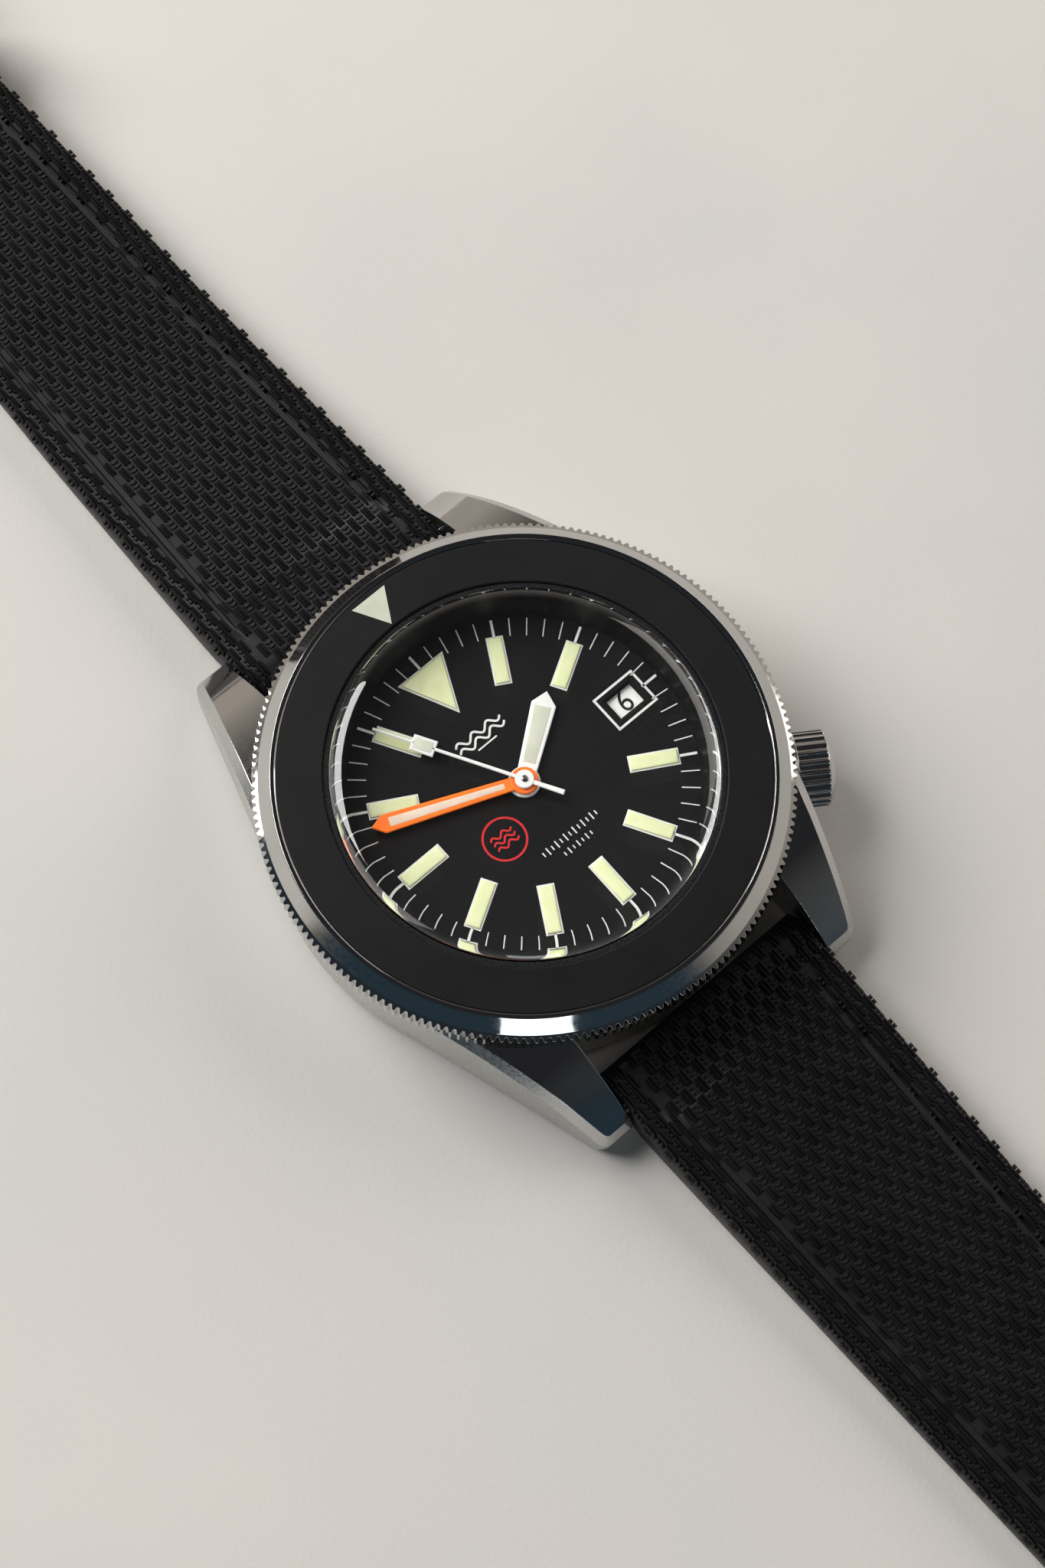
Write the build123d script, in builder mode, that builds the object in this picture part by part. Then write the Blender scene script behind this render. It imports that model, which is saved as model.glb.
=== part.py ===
from build123d import *
from math import asin, cos, pi, radians, sin
import os

# A 41 mm automatic dive watch, laid out flat. Millimetres, +Z up through the crystal, +Y to 12
# o'clock. The origin is the centre of the flat face of the case back.

# ---- driving dimensions -------------------------------------------------------------------
case_r = 19.4
lug_bevel = 0.65
case_low, case_high = 1.25, 8.9
lug_gap = 20.0
lug_tip_y = 23.95
lug_tip_x = 13.05
lug_tip_high = 3.1
lug_top_y = 11.0
bar_y, bar_z = 21.3, 2.9
movement_bore_r = 14.35
neck_r, neck_high = 16.2, 11.3
crystal_r, crystal_low, crystal_edge, crystal_top = 14.55, 9.6, 11.55, 12.9
shoulder_r, shoulder_z = 13.2, 12.58
crystal_seat_r = 14.9

bezel_low, bezel_high = 9.05, 12.0
bezel_r, bezel_rim_r = 20.24, 18.8
bezel_bore_r, flank_r = 16.3, 19.75
insert_outer_r, insert_inner_r = 18.4, 14.95
insert_low = 11.45
coin_teeth, coin_depth, click_teeth = 200, 0.32, 120
click_r = 17.4

dial_r, dial_low, dial_high = 14.25, 7.1, 7.5
plate_r, plate_low, plate_high = 13.7, 4.95, 6.3
bridge_low, bridge_high = 2.9, 3.45

crown_clock = 124.0
stem_z = 4.4
crown_r, crown_in, crown_out, crown_dome = 2.95, 20.45, 23.4, 24.15
crown_flutes = 24

strap_thick_end = 1.85
strap_half, strap_half_end, strap_end_y = 9.95, 8.05, 95.0
buckle_bar_y, buckle_bar_z = 96.5, 2.3
buckle_bar_r = 0.9
tail_y = -139.0

# Axes of the going train, seen from the dial side, and the tooth counts of its wheels.
barrel_at = (5.88 * cos(radians(32)), 5.88 * sin(radians(32)))
third_at = (3.6 * cos(radians(150)), 3.6 * sin(radians(150)))
escape_at = (3.64 * cos(radians(-120)), 3.64 * sin(radians(-120)))
balance_at = (8.6 * cos(radians(-125)), 8.6 * sin(radians(-125)))
minute_wheel_at = (3.0 * cos(radians(200)), 3.0 * sin(radians(200)))
barrel_teeth, barrel_module = 72, 0.14
centre_pinion_leaves = 12
centre_teeth, third_leaves, centre_module = 64, 8, 0.1
third_teeth, fourth_leaves = 60, 8
third_module = 7.2 / (third_teeth + fourth_leaves)
fourth_teeth, escape_leaves, fourth_module = 84, 7, 0.08
cannon_teeth, minute_wheel_teeth, cannon_module = 12, 36, 0.125
minute_leaves, hour_teeth, hour_module = 12, 48, 0.1
crown_wheel_teeth, ratchet_teeth, winding_module = 28, 42, 0.18

BOTTOM = (Align.CENTER, Align.CENTER, Align.MIN)
stem_angle = 90.0 - crown_clock
stem_out = (cos(radians(stem_angle)), sin(radians(stem_angle)))
stem_plane = Plane(origin=(0, 0, stem_z), x_dir=(-stem_out[1], stem_out[0], 0), z_dir=(*stem_out, 0))
crown_wheel_at = (5.682 * stem_out[0], 5.682 * stem_out[1])

os.makedirs("parts", exist_ok=True)


# ---- shapes that several pieces share ------------------------------------------------------
def save(piece, name):
    """Label a finished piece and write it to its own file."""
    piece.part.label = name
    export_step(piece.part, f"parts/{name}.step")


def drum(radius, low, high, at=(0.0, 0.0), mode=Mode.ADD):
    """A round disc or hole standing on height low."""
    with Locations((at[0], at[1], low)):
        Cylinder(radius, high - low, align=BOTTOM, mode=mode)


def turned(*section):
    """A body of revolution about Z from its (radius, height) section."""
    with BuildSketch(Plane.XZ) as profile:
        with BuildLine():
            Polyline(*section, close=True)
        make_face()
    revolve(profile.sketch, axis=Axis.Z)


def stem_drum(radius, start, end, mode=Mode.ADD):
    """A round piece or hole on the winding stem's axis, between two distances from the centre."""
    with BuildSketch(stem_plane.offset(start)) as disc:
        Circle(radius)
    extrude(disc.sketch, amount=end - start, mode=mode)


def slab(outline, low, high, mode=Mode.ADD):
    """A flat piece of the given outline between two heights."""
    with BuildSketch(Plane.XY.offset(low)) as flat:
        Polygon(*outline, align=None)
    extrude(flat.sketch, amount=high - low, mode=mode)


def gear(teeth, module, low, high, at=(0.0, 0.0), facing=0.0, gap=False):
    """A toothed disc with a tooth, or a gap, facing the given direction in degrees."""
    pitch_r = teeth * module / 2
    tip_r, root_r = pitch_r + 0.75 * module, pitch_r - 1.2 * module
    step = 2 * pi / teeth
    first = radians(facing) + (step / 2 if gap else 0.0)
    outline = []
    for tooth in range(teeth):
        middle = first + tooth * step
        for radius, share in ((root_r, -0.28), (tip_r, -0.11), (tip_r, 0.11), (root_r, 0.28)):
            angle = middle + share * step
            outline.append((at[0] + radius * cos(angle), at[1] + radius * sin(angle)))
    slab(outline, low, high)


def spokes(outer_r, hub_r, low, high, count, at=(0.0, 0.0)):
    """Cut the windows that leave straight spokes between a wheel's hub and rim."""
    with Locations((at[0], at[1], low)):
        with PolarLocations((outer_r + hub_r) / 2, count):
            Cylinder((outer_r - hub_r) / 2 * 0.82, high - low, align=BOTTOM, mode=Mode.SUBTRACT)


def spiral_band(inner_r, outer_r, turns, width, low, high, at=(0.0, 0.0)):
    """A flat coiled spring: a band of the given width on an even spiral."""
    points_per_turn = 20
    steps = turns * points_per_turn
    inner, outer = [], []
    for step in range(steps + 1):
        angle = 2 * pi * step / points_per_turn
        radius = inner_r + (outer_r - inner_r) * step / steps
        for side, edge in ((-width / 2, inner), (width / 2, outer)):
            edge.append((at[0] + (radius + side) * cos(angle), at[1] + (radius + side) * sin(angle)))
    slab(inner + outer[::-1], low, high)


def facing_from(a, b):
    """Direction in degrees from point a to point b."""
    return Vector(b[0] - a[0], b[1] - a[1]).get_signed_angle(Vector(1, 0)) * -1


def polar(radius, degrees):
    return (radius * cos(radians(degrees)), radius * sin(radians(degrees)))


def dome_middle(edge_r, rise, top):
    """The point half-way down the arc of a dome, for its edge radius, rise and top height."""
    sphere_r = (edge_r**2 + rise**2) / (2 * rise)
    half_way = asin(edge_r / sphere_r) / 2
    return (sphere_r * sin(half_way), top - sphere_r * (1 - cos(half_way)))


CENTRE = (0.0, 0.0)

# ---- case ----------------------------------------------------------------------------------
# Outline: the tightest band round the case circle and the four lug tips.
tip_round = 1.1
with BuildPart() as mid_case:
    with BuildSketch(Plane.XY):
        Circle(case_r)
        with GridLocations(2 * (lug_tip_x - tip_round), 2 * (lug_tip_y - tip_round), 2, 2):
            Circle(tip_round)
        make_hull()
    extrude(amount=case_high)
    # Side view: flat shoulder under the bezel, then the lug tops curving down to their tips.
    with BuildSketch(Plane.YZ):
        with BuildLine():
            shoulder = Line((0, case_high), (lug_top_y, case_high))
            top = TangentArc(shoulder @ 1, (lug_tip_y, lug_tip_high), tangent=(1, 0))
            Polyline(top @ 1, (lug_tip_y, 1.9), (23.0, 0.75), (17.0, case_low), (0, case_low), shoulder @ 0)
        make_face()
        mirror(about=Plane.YZ)
    extrude(amount=case_r + 1, both=True, mode=Mode.INTERSECT)
    # Satin bevel along the outer edge, all but the two seams where the lug tops begin.
    upper_faces = mid_case.faces().filter_by(lambda face: face.normal_at().Z > 0.3)
    rim_edges = [
        edge
        for edge in mid_case.edges()
        if abs(abs(edge.center().Y) - lug_top_y) > 0.1
        and any(edge.is_same(other) for other in upper_faces.edges())
    ]
    chamfer(rim_edges, lug_bevel)
    # Between the lugs the case wall is round and leaves room for the strap's end.
    with BuildSketch(Plane.XY) as lug_gaps:
        Rectangle(lug_gap, 60)
        Circle(19.2, mode=Mode.SUBTRACT)
        Rectangle(60, 30, mode=Mode.SUBTRACT)
    extrude(lug_gaps.sketch, amount=case_high + 1, mode=Mode.SUBTRACT)
    drum(neck_r, case_high, neck_high)
    drum(movement_bore_r, case_low, crystal_low, mode=Mode.SUBTRACT)
    drum(crystal_seat_r, crystal_low, neck_high, mode=Mode.SUBTRACT)
    drum(15.95, case_low - 1, 3.0, mode=Mode.SUBTRACT)
    # Groove for the case back's seal.
    with BuildSketch(Plane.XY.offset(case_low - 0.5)) as seal_groove:
        Circle(16.8)
        Circle(16.2, mode=Mode.SUBTRACT)
    extrude(seal_groove.sketch, amount=0.95, mode=Mode.SUBTRACT)
    # Seat for the crown, and the hole for its tube.
    stem_drum(3.4, 20.45, 25, mode=Mode.SUBTRACT)
    stem_drum(1.25, 13, 21, mode=Mode.SUBTRACT)
    # Pocket for the click spring under the bezel.
    with BuildSketch(Plane.XY.offset(8.4)) as click_pocket:
        SlotArc(CenterArc((0, 0), click_r, 60, 60, mode=Mode.PRIVATE), 1.1)
    extrude(click_pocket.sketch, amount=1, mode=Mode.SUBTRACT)
    # Blind holes in the lugs for the spring bars.
    with Locations((0, bar_y, bar_z), (0, -bar_y, bar_z)):
        Cylinder(0.47, lug_gap + 2.4, rotation=(0, 90, 0), mode=Mode.SUBTRACT)
save(mid_case, "mid_case")

with BuildPart() as case_back:
    turned(
        (0, 0), (15.6, 0), (17.1, 0.45), (17.1, 1.2), (15.9, 1.2),
        (15.9, 2.9), (14.5, 2.9), (14.5, 1.5), (0, 1.5),
    )
    with Locations((0, 0, 0)):
        with PolarLocations(16.2, 6):
            Box(2.2, 2.2, 0.5, align=BOTTOM, mode=Mode.SUBTRACT)
    with BuildSketch(Plane.XY) as centre_ring:
        Circle(11.6)
        Circle(11.2, mode=Mode.SUBTRACT)
    extrude(centre_ring.sketch, amount=0.12, mode=Mode.SUBTRACT)
save(case_back, "case_back")

with BuildPart() as case_back_gasket:
    turned((16.25, 1.2), (16.75, 1.2), (16.75, 1.65), (16.25, 1.65))
save(case_back_gasket, "case_back_gasket")

with BuildPart() as crown_tube:
    stem_drum(1.25, 14.45, 21.9)
    stem_drum(0.55, 14, 22, mode=Mode.SUBTRACT)
save(crown_tube, "crown_tube")

# ---- crystal and the ring under it -----------------------------------------------------------
with BuildPart() as crystal:
    with BuildSketch(Plane.XZ):
        with BuildLine():
            Polyline((0, crystal_top), (0, crystal_low), (crystal_r, crystal_low), (crystal_r, crystal_edge))
            # The shoulder leaves the wall upright and turns into the dome.
            shoulder = Spline((crystal_r, crystal_edge), (14.2, 12.2), (shoulder_r, shoulder_z),
                              tangents=[(0, 1), (-1, 0.045)])
            ThreePointArc(shoulder @ 1, dome_middle(shoulder_r, crystal_top - shoulder_z, crystal_top),
                          (0, crystal_top))
        make_face()
    revolve(axis=Axis.Z)
save(crystal, "crystal")

with BuildPart() as crystal_gasket:
    turned((crystal_r, crystal_low), (crystal_seat_r, crystal_low), (crystal_seat_r, 11.8), (crystal_r, 11.8))
save(crystal_gasket, "crystal_gasket")

with BuildPart() as rehaut_ring:
    turned((13.3, dial_high), (14.25, dial_high), (14.25, crystal_low - 0.05), (13.95, crystal_low - 0.05))
save(rehaut_ring, "rehaut_ring")

# ---- rotating bezel --------------------------------------------------------------------------
with BuildPart() as bezel_ring:
    turned(
        (bezel_bore_r, bezel_low), (bezel_r, bezel_low), (bezel_r, 10.6), (flank_r, 10.9),
        (bezel_rim_r + 0.05, bezel_high - 0.05), (bezel_rim_r, bezel_high),
        (insert_outer_r + 0.1, bezel_high), (insert_outer_r, bezel_high - 0.08),
        (insert_outer_r, insert_low), (bezel_bore_r, insert_low), (bezel_bore_r, 10.4), (16.95, 10.4),
        (16.95, 9.7), (bezel_bore_r, 9.7),
    )
    # Fine coin edge: one long wave-like outline, cut from the rim.
    coin_outline = []
    for tooth in range(coin_teeth):
        for depth, share in ((coin_depth, -0.12), (coin_depth, 0.12), (0.0, 0.38), (0.0, 0.62)):
            coin_outline.append(polar(bezel_r + 0.02 - depth, (tooth + share) * 360 / coin_teeth))
    with BuildSketch(Plane.XY.offset(bezel_low - 0.5)) as coin_waste:
        Circle(bezel_r + 1)
        Polygon(*coin_outline, align=None, mode=Mode.SUBTRACT)
    extrude(coin_waste.sketch, amount=bezel_high - bezel_low, mode=Mode.SUBTRACT)
    # The ring of click notches on the underside.
    notch_outline = []
    for notch in range(click_teeth):
        for radius, share in ((18.2, 0.0), (18.2, 0.5), (16.75, 0.5), (16.75, 1.0)):
            notch_outline.append(polar(radius, (notch + share) * 360 / click_teeth))
    with BuildSketch(Plane.XY.offset(bezel_low)) as notches:
        Polygon(*notch_outline, align=None)
        Circle(16.75, mode=Mode.SUBTRACT)
    extrude(notches.sketch, amount=0.25, mode=Mode.SUBTRACT)
save(bezel_ring, "bezel_ring")

pip_outline = [(0, 15.15), (-1.58, 17.9), (1.58, 17.9)]
with BuildPart() as bezel_insert:
    turned(
        (insert_inner_r, insert_low), (insert_outer_r, insert_low), (insert_outer_r, 11.82),
        (insert_outer_r - 0.1, 11.92), (insert_inner_r + 0.1, 12.05), (insert_inner_r, 11.95),
    )
    slab(pip_outline, 11.7, 12.3, mode=Mode.SUBTRACT)
save(bezel_insert, "bezel_insert")

with BuildPart() as bezel_pip:
    slab(pip_outline, 11.7, 12.02)
save(bezel_pip, "bezel_pip")

with BuildPart() as bezel_gasket:
    turned((neck_r, 9.8), (16.8, 9.8), (16.8, 10.3), (neck_r, 10.3))
save(bezel_gasket, "bezel_gasket")

with BuildPart() as bezel_click_spring:
    with BuildSketch(Plane.XY.offset(8.45)):
        SlotArc(CenterArc((0, 0), click_r, 62, 56, mode=Mode.PRIVATE), 0.7)
    extrude(amount=0.2)
    with Locations((*polar(click_r, 64), 8.65)):
        Box(0.5, 0.5, 0.35, align=BOTTOM)
save(bezel_click_spring, "bezel_click_spring")

# ---- dial, markers and hands -----------------------------------------------------------------
date_at = (10.0, 0.0)
with BuildPart() as dial:
    drum(dial_r, dial_low, dial_high)
    drum(0.95, dial_low, dial_high, mode=Mode.SUBTRACT)
    with Locations((date_at[0], date_at[1], dial_low)):
        Box(2.3, 1.7, 1, align=BOTTOM, mode=Mode.SUBTRACT)
    chamfer(dial.edges().filter_by(GeomType.LINE).group_by(Axis.Z)[-1], 0.18)
save(dial, "dial")

marker_high = dial_high + 0.16
with BuildPart() as hour_markers:
    for hour in (1, 2, 4, 5, 6, 7, 8, 9, 10, 11):
        with Locations(Location((0, 0, dial_high), (0, 0, -30 * hour))):
            with Locations((0, 9.8, 0)):
                Box(1.06, 3.6, marker_high - dial_high, align=BOTTOM)
    slab([(0, 7.55), (-1.98, 11.7), (1.98, 11.7)], dial_high, marker_high)
save(hour_markers, "hour_markers")

hour_clock, minute_clock, second_clock = 54.5, 292.8, 330.0
hour_hand_z, minute_hand_z, second_hand_z = 7.75, 8.1, 8.45


def clock_plane(clock, height):
    """A plane at a height whose Y axis points to a clock direction, in degrees from 12."""
    return Plane(origin=(0, 0, height), x_dir=(cos(radians(clock)), -sin(radians(clock)), 0), z_dir=(0, 0, 1))


with BuildPart() as hour_hand:
    with BuildSketch(clock_plane(hour_clock, hour_hand_z)):
        Polygon((-0.62, 0.3), (0.62, 0.3), (0.93, 6.25), (0, 7.3), (-0.93, 6.25), align=None)
        Circle(1.2)
        Circle(0.75, mode=Mode.SUBTRACT)
    extrude(amount=0.18)
save(hour_hand, "hour_hand")

with BuildPart() as minute_hand:
    with BuildSketch(clock_plane(minute_clock, minute_hand_z)):
        Polygon((-0.42, 0.2), (0.42, 0.2), (0.62, 11.0), (0, 11.85), (-0.62, 11.0), align=None)
        Circle(1.05)
        Circle(0.5, mode=Mode.SUBTRACT)
    extrude(amount=0.16)
save(minute_hand, "minute_hand")

with BuildPart() as second_hand:
    with BuildSketch(clock_plane(second_clock, second_hand_z)):
        Polygon((-0.2, -3.1), (0.2, -3.1), (0.14, 0), (0.11, 11.9), (-0.11, 11.9), (-0.14, 0), align=None)
        with Locations((0, 7.9)):
            Rectangle(1.27, 1.85)
        Circle(0.7)
        Circle(0.17, mode=Mode.SUBTRACT)
    extrude(amount=0.13)
save(second_hand, "second_hand")

# ---- movement: plate, bridges and their fixings -------------------------------------------------
with BuildPart() as movement_holder:
    turned((13.75, 3.05), (14.3, 3.05), (14.3, 7.05), (13.75, 7.05))
    stem_drum(0.9, 12, 16, mode=Mode.SUBTRACT)
save(movement_holder, "movement_holder")

jewel_r = 0.42
with BuildPart() as main_plate:
    drum(plate_r, plate_low, plate_high)
    drum(0.4, plate_low, plate_high, mode=Mode.SUBTRACT)
    # Recess for the centre wheel and the third wheel's pinion.
    drum(3.5, plate_low, 5.25, mode=Mode.SUBTRACT)
    drum(0.7, plate_low, 5.35, third_at, mode=Mode.SUBTRACT)
    for pivot in (third_at, escape_at, balance_at):
        drum(jewel_r, plate_low, plate_high, pivot, mode=Mode.SUBTRACT)
    drum(0.55, plate_low, plate_high, barrel_at, mode=Mode.SUBTRACT)
    # Pocket for the winding stem, its pinions and the setting lever.
    with BuildSketch(Plane(origin=(0, 0, plate_low), x_dir=(*stem_out, 0), z_dir=(0, 0, 1))) as stem_pocket:
        with Locations((10.2, 0.75)):
            Rectangle(9.4, 5.0)
    extrude(stem_pocket.sketch, amount=1.05, mode=Mode.SUBTRACT)
    # Posts for the minute wheel, on the dial side, and for the setting lever.
    drum(0.25, plate_high, 6.9, minute_wheel_at)
    with Locations(Location((0, 0, 5.0), (0, 0, stem_angle))):
        with Locations((10.8, 2.4, 0)):
            Cylinder(0.3, 1.1, align=BOTTOM)
save(main_plate, "main_plate")

screw_points = [polar(12.4, angle) for angle in (5, 62, 112, 168, 203)]
cock_screw = polar(12.2, -100)
with BuildPart() as barrel_bridge:
    with BuildSketch(Plane.XY.offset(bridge_low)):
        Circle(13.3)
        with Locations((-8.2, 0)):
            Rectangle(20, 30, mode=Mode.SUBTRACT)
        with Locations((5, -13.5)):
            Rectangle(20, 15, mode=Mode.SUBTRACT)
    extrude(amount=bridge_high - bridge_low)
    stem_drum(1.7, 7.7, 9.0, mode=Mode.SUBTRACT)
    drum(0.55, bridge_low, bridge_high, barrel_at, mode=Mode.SUBTRACT)
    for point in screw_points[:2]:
        drum(0.8, bridge_high, plate_low, point)
        drum(0.3, bridge_low, plate_low, point, mode=Mode.SUBTRACT)
    # Posts for the crown wheel and the click.
    drum(0.45, 2.55, bridge_low, crown_wheel_at)
    drum(0.3, 2.55, bridge_low, (4.05, 8.44))
save(barrel_bridge, "barrel_bridge")

with BuildPart() as train_bridge:
    with BuildSketch(Plane.XY.offset(bridge_low)):
        Circle(13.3)
        with Locations((11.8, 0)):
            Rectangle(20.2, 30, mode=Mode.SUBTRACT)
        with Locations(balance_at):
            Circle(4.6, mode=Mode.SUBTRACT)
        with Locations((0, -14)):
            Rectangle(30, 16, mode=Mode.SUBTRACT)
        Circle(1.7)
    extrude(amount=bridge_high - bridge_low)
    for pivot in (third_at, escape_at, CENTRE):
        drum(jewel_r, bridge_low, bridge_high, pivot, mode=Mode.SUBTRACT)
    for point in screw_points[2:]:
        drum(0.8, bridge_high, plate_low, point)
        drum(0.3, bridge_low, plate_low, point, mode=Mode.SUBTRACT)
    # Post that the winding rotor turns on.
    with BuildSketch(Plane.XY.offset(1.95)):
        Circle(0.9)
        Circle(jewel_r, mode=Mode.SUBTRACT)
    extrude(amount=bridge_low - 1.95)
save(train_bridge, "train_bridge")

with BuildPart() as balance_cock:
    with BuildSketch(Plane.XY.offset(bridge_low)):
        with Locations(balance_at):
            Circle(1.5)
        with Locations(cock_screw):
            Circle(1.1)
        make_hull()
        with Locations(balance_at):
            Circle(jewel_r, mode=Mode.SUBTRACT)
    extrude(amount=0.45)
    drum(1.0, 3.35, plate_low, cock_screw)
    drum(0.3, bridge_low, plate_low, cock_screw, mode=Mode.SUBTRACT)
save(balance_cock, "balance_cock")

with BuildPart() as jewels:
    lower = [(third_at, bridge_low), (escape_at, bridge_low), (CENTRE, bridge_low)]
    upper = [(third_at, 5.75), (escape_at, 5.75), (balance_at, 5.75)]
    for at, low in lower + upper + [(balance_at, bridge_low)]:
        with BuildSketch(Plane.XY.offset(low)) as jewel:
            with Locations(at):
                Circle(jewel_r)
                Circle(0.22 if at == CENTRE else 0.15, mode=Mode.SUBTRACT)
        extrude(jewel.sketch, amount=0.4)
save(jewels, "jewels")

with BuildPart() as movement_screws:
    for at in screw_points + [cock_screw]:
        drum(0.6, bridge_low - 0.14, bridge_low, at)
        drum(0.3, bridge_low, plate_low, at)
        with Locations((at[0], at[1], bridge_low - 0.14)):
            Box(1.4, 0.15, 0.08, align=BOTTOM, mode=Mode.SUBTRACT)
save(movement_screws, "movement_screws")

# ---- going train ---------------------------------------------------------------------------------
with BuildPart() as barrel_drum:
    drum(4.7, 3.85, 4.85, barrel_at)
    gear(barrel_teeth, barrel_module, 4.55, 4.85, barrel_at, facing_from(barrel_at, CENTRE))
    drum(4.4, 3.97, 4.73, barrel_at, mode=Mode.SUBTRACT)
    drum(0.55, 3.85, 4.85, barrel_at, mode=Mode.SUBTRACT)
save(barrel_drum, "barrel_drum")

with BuildPart() as mainspring:
    spiral_band(1.2, 4.25, 6, 0.14, 4.02, 4.68, barrel_at)
save(mainspring, "mainspring")

with BuildPart() as ratchet_wheel:
    gear(ratchet_teeth, winding_module, 2.6, 2.85, barrel_at, facing_from(barrel_at, crown_wheel_at))
    drum(0.5, 2.6, 5.6, barrel_at)
    drum(0.8, 2.45, 2.6, barrel_at)
save(ratchet_wheel, "ratchet_wheel")

with BuildPart() as crown_wheel:
    gear(crown_wheel_teeth, winding_module, 2.6, 2.85, crown_wheel_at,
         facing_from(crown_wheel_at, barrel_at), gap=True)
    drum(0.5, 2.6, 2.85, crown_wheel_at, mode=Mode.SUBTRACT)
save(crown_wheel, "crown_wheel")

with BuildPart() as click:
    with BuildSketch(Plane.XY.offset(2.6)):
        with Locations((4.05, 8.44)):
            Circle(0.6)
        with Locations((4.45, 7.3)):
            Circle(0.12)
        make_hull()
        with Locations((4.05, 8.44)):
            Circle(0.35, mode=Mode.SUBTRACT)
    extrude(amount=0.25)
save(click, "click")

tube_r, tube_bore_r, seconds_arbor_r = 0.34, 0.22, 0.17
with BuildPart() as centre_wheel:
    gear(centre_pinion_leaves, barrel_module, 4.5, 4.9, CENTRE, facing_from(CENTRE, barrel_at), gap=True)
    gear(centre_teeth, centre_module, 5.0, 5.15, CENTRE, facing_from(CENTRE, third_at))
    spokes(2.9, 0.8, 5.0, 5.15, 5)
    drum(tube_r, 4.5, 8.26)
    drum(tube_bore_r, 4.5, 8.26, mode=Mode.SUBTRACT)
save(centre_wheel, "centre_wheel")

with BuildPart() as cannon_pinion:
    gear(cannon_teeth, cannon_module, 6.35, 6.52, CENTRE, facing_from(CENTRE, minute_wheel_at), gap=True)
    drum(0.5, 6.35, 8.26)
    drum(tube_r, 6.35, 8.26, mode=Mode.SUBTRACT)
save(cannon_pinion, "cannon_pinion")

with BuildPart() as hour_wheel:
    gear(hour_teeth, hour_module, 6.56, 6.8, CENTRE, facing_from(CENTRE, minute_wheel_at), gap=True)
    spokes(2.0, 0.9, 6.56, 6.8, 6)
    drum(0.75, 6.56, 7.93)
    drum(0.55, 6.56, 7.93, mode=Mode.SUBTRACT)
save(hour_wheel, "hour_wheel")

with BuildPart() as minute_wheel:
    gear(minute_wheel_teeth, cannon_module, 6.35, 6.5, minute_wheel_at, facing_from(minute_wheel_at, CENTRE))
    gear(minute_leaves, hour_module, 6.5, 6.82, minute_wheel_at, facing_from(minute_wheel_at, CENTRE))
    drum(0.29, 6.35, 6.82, minute_wheel_at, mode=Mode.SUBTRACT)
save(minute_wheel, "minute_wheel")

with BuildPart() as third_wheel:
    gear(third_teeth, third_module, 3.8, 3.93, third_at, facing_from(third_at, CENTRE))
    spokes(2.85, 0.5, 3.8, 3.93, 5, third_at)
    gear(third_leaves, centre_module, 4.98, 5.17, third_at, facing_from(third_at, CENTRE), gap=True)
    drum(0.12, 2.95, 6.1, third_at)
save(third_wheel, "third_wheel")

with BuildPart() as fourth_wheel:
    gear(fourth_teeth, fourth_module, 3.55, 3.7, CENTRE, facing_from(CENTRE, escape_at))
    spokes(3.0, 0.6, 3.55, 3.7, 4)
    gear(fourth_leaves, third_module, 3.7, 4.0, CENTRE, facing_from(CENTRE, third_at), gap=True)
    drum(seconds_arbor_r, 2.95, 8.58)
save(fourth_wheel, "fourth_wheel")

escape_teeth, escape_r = 15, 1.95
with BuildPart() as escape_wheel:
    escape_outline = []
    for tooth in range(escape_teeth):
        for depth, share in ((0.45, 0.0), (0.0, 0.42), (0.0, 0.56), (0.45, 0.62)):
            x, y = polar(escape_r - depth, (tooth + share) * 360 / escape_teeth)
            escape_outline.append((escape_at[0] + x, escape_at[1] + y))
    slab(escape_outline, 4.35, 4.5)
    spokes(1.4, 0.4, 4.35, 4.5, 4, escape_at)
    gear(escape_leaves, fourth_module, 3.52, 3.78, escape_at, facing_from(escape_at, CENTRE), gap=True)
    drum(0.12, 2.95, 6.1, escape_at)
save(escape_wheel, "escape_wheel")

# The lever stands on the line from the escape wheel to the balance.
lever_way = Vector(balance_at[0] - escape_at[0], balance_at[1] - escape_at[1]).normalized()
lever_at = (escape_at[0] + 2.6 * lever_way.X, escape_at[1] + 2.6 * lever_way.Y)
lever_plane = Plane(origin=(*lever_at, 4.35), x_dir=(lever_way.Y, -lever_way.X, 0), z_dir=(0, 0, 1))
with BuildPart() as pallet_fork:
    with BuildSketch(lever_plane):
        Rectangle(0.24, 3.1, align=(Align.CENTER, Align.MIN))
    with BuildSketch(lever_plane) as lever_arms:
        with Locations((0, -0.1)):
            Rectangle(2.6, 0.3)
        with Locations((-1.25, -0.35), (1.25, -0.35)):
            Rectangle(0.25, 0.5)
        with Locations((0, 1.75)):
            Rectangle(0.6, 0.3)
        with Locations((0, 2.0)):
            Rectangle(0.2, 0.5, mode=Mode.SUBTRACT)
    extrude(amount=0.14)
    with BuildSketch(lever_plane.offset(-0.25)) as lever_arbor:
        Circle(0.1)
    extrude(lever_arbor.sketch, amount=0.8)
    with BuildSketch(lever_plane.offset(-0.5)) as lever_end:
        with Locations((0, 2.6)):
            Rectangle(2, 1.6)
    extrude(lever_end.sketch, amount=1, mode=Mode.SUBTRACT)
save(pallet_fork, "pallet_fork")

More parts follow.
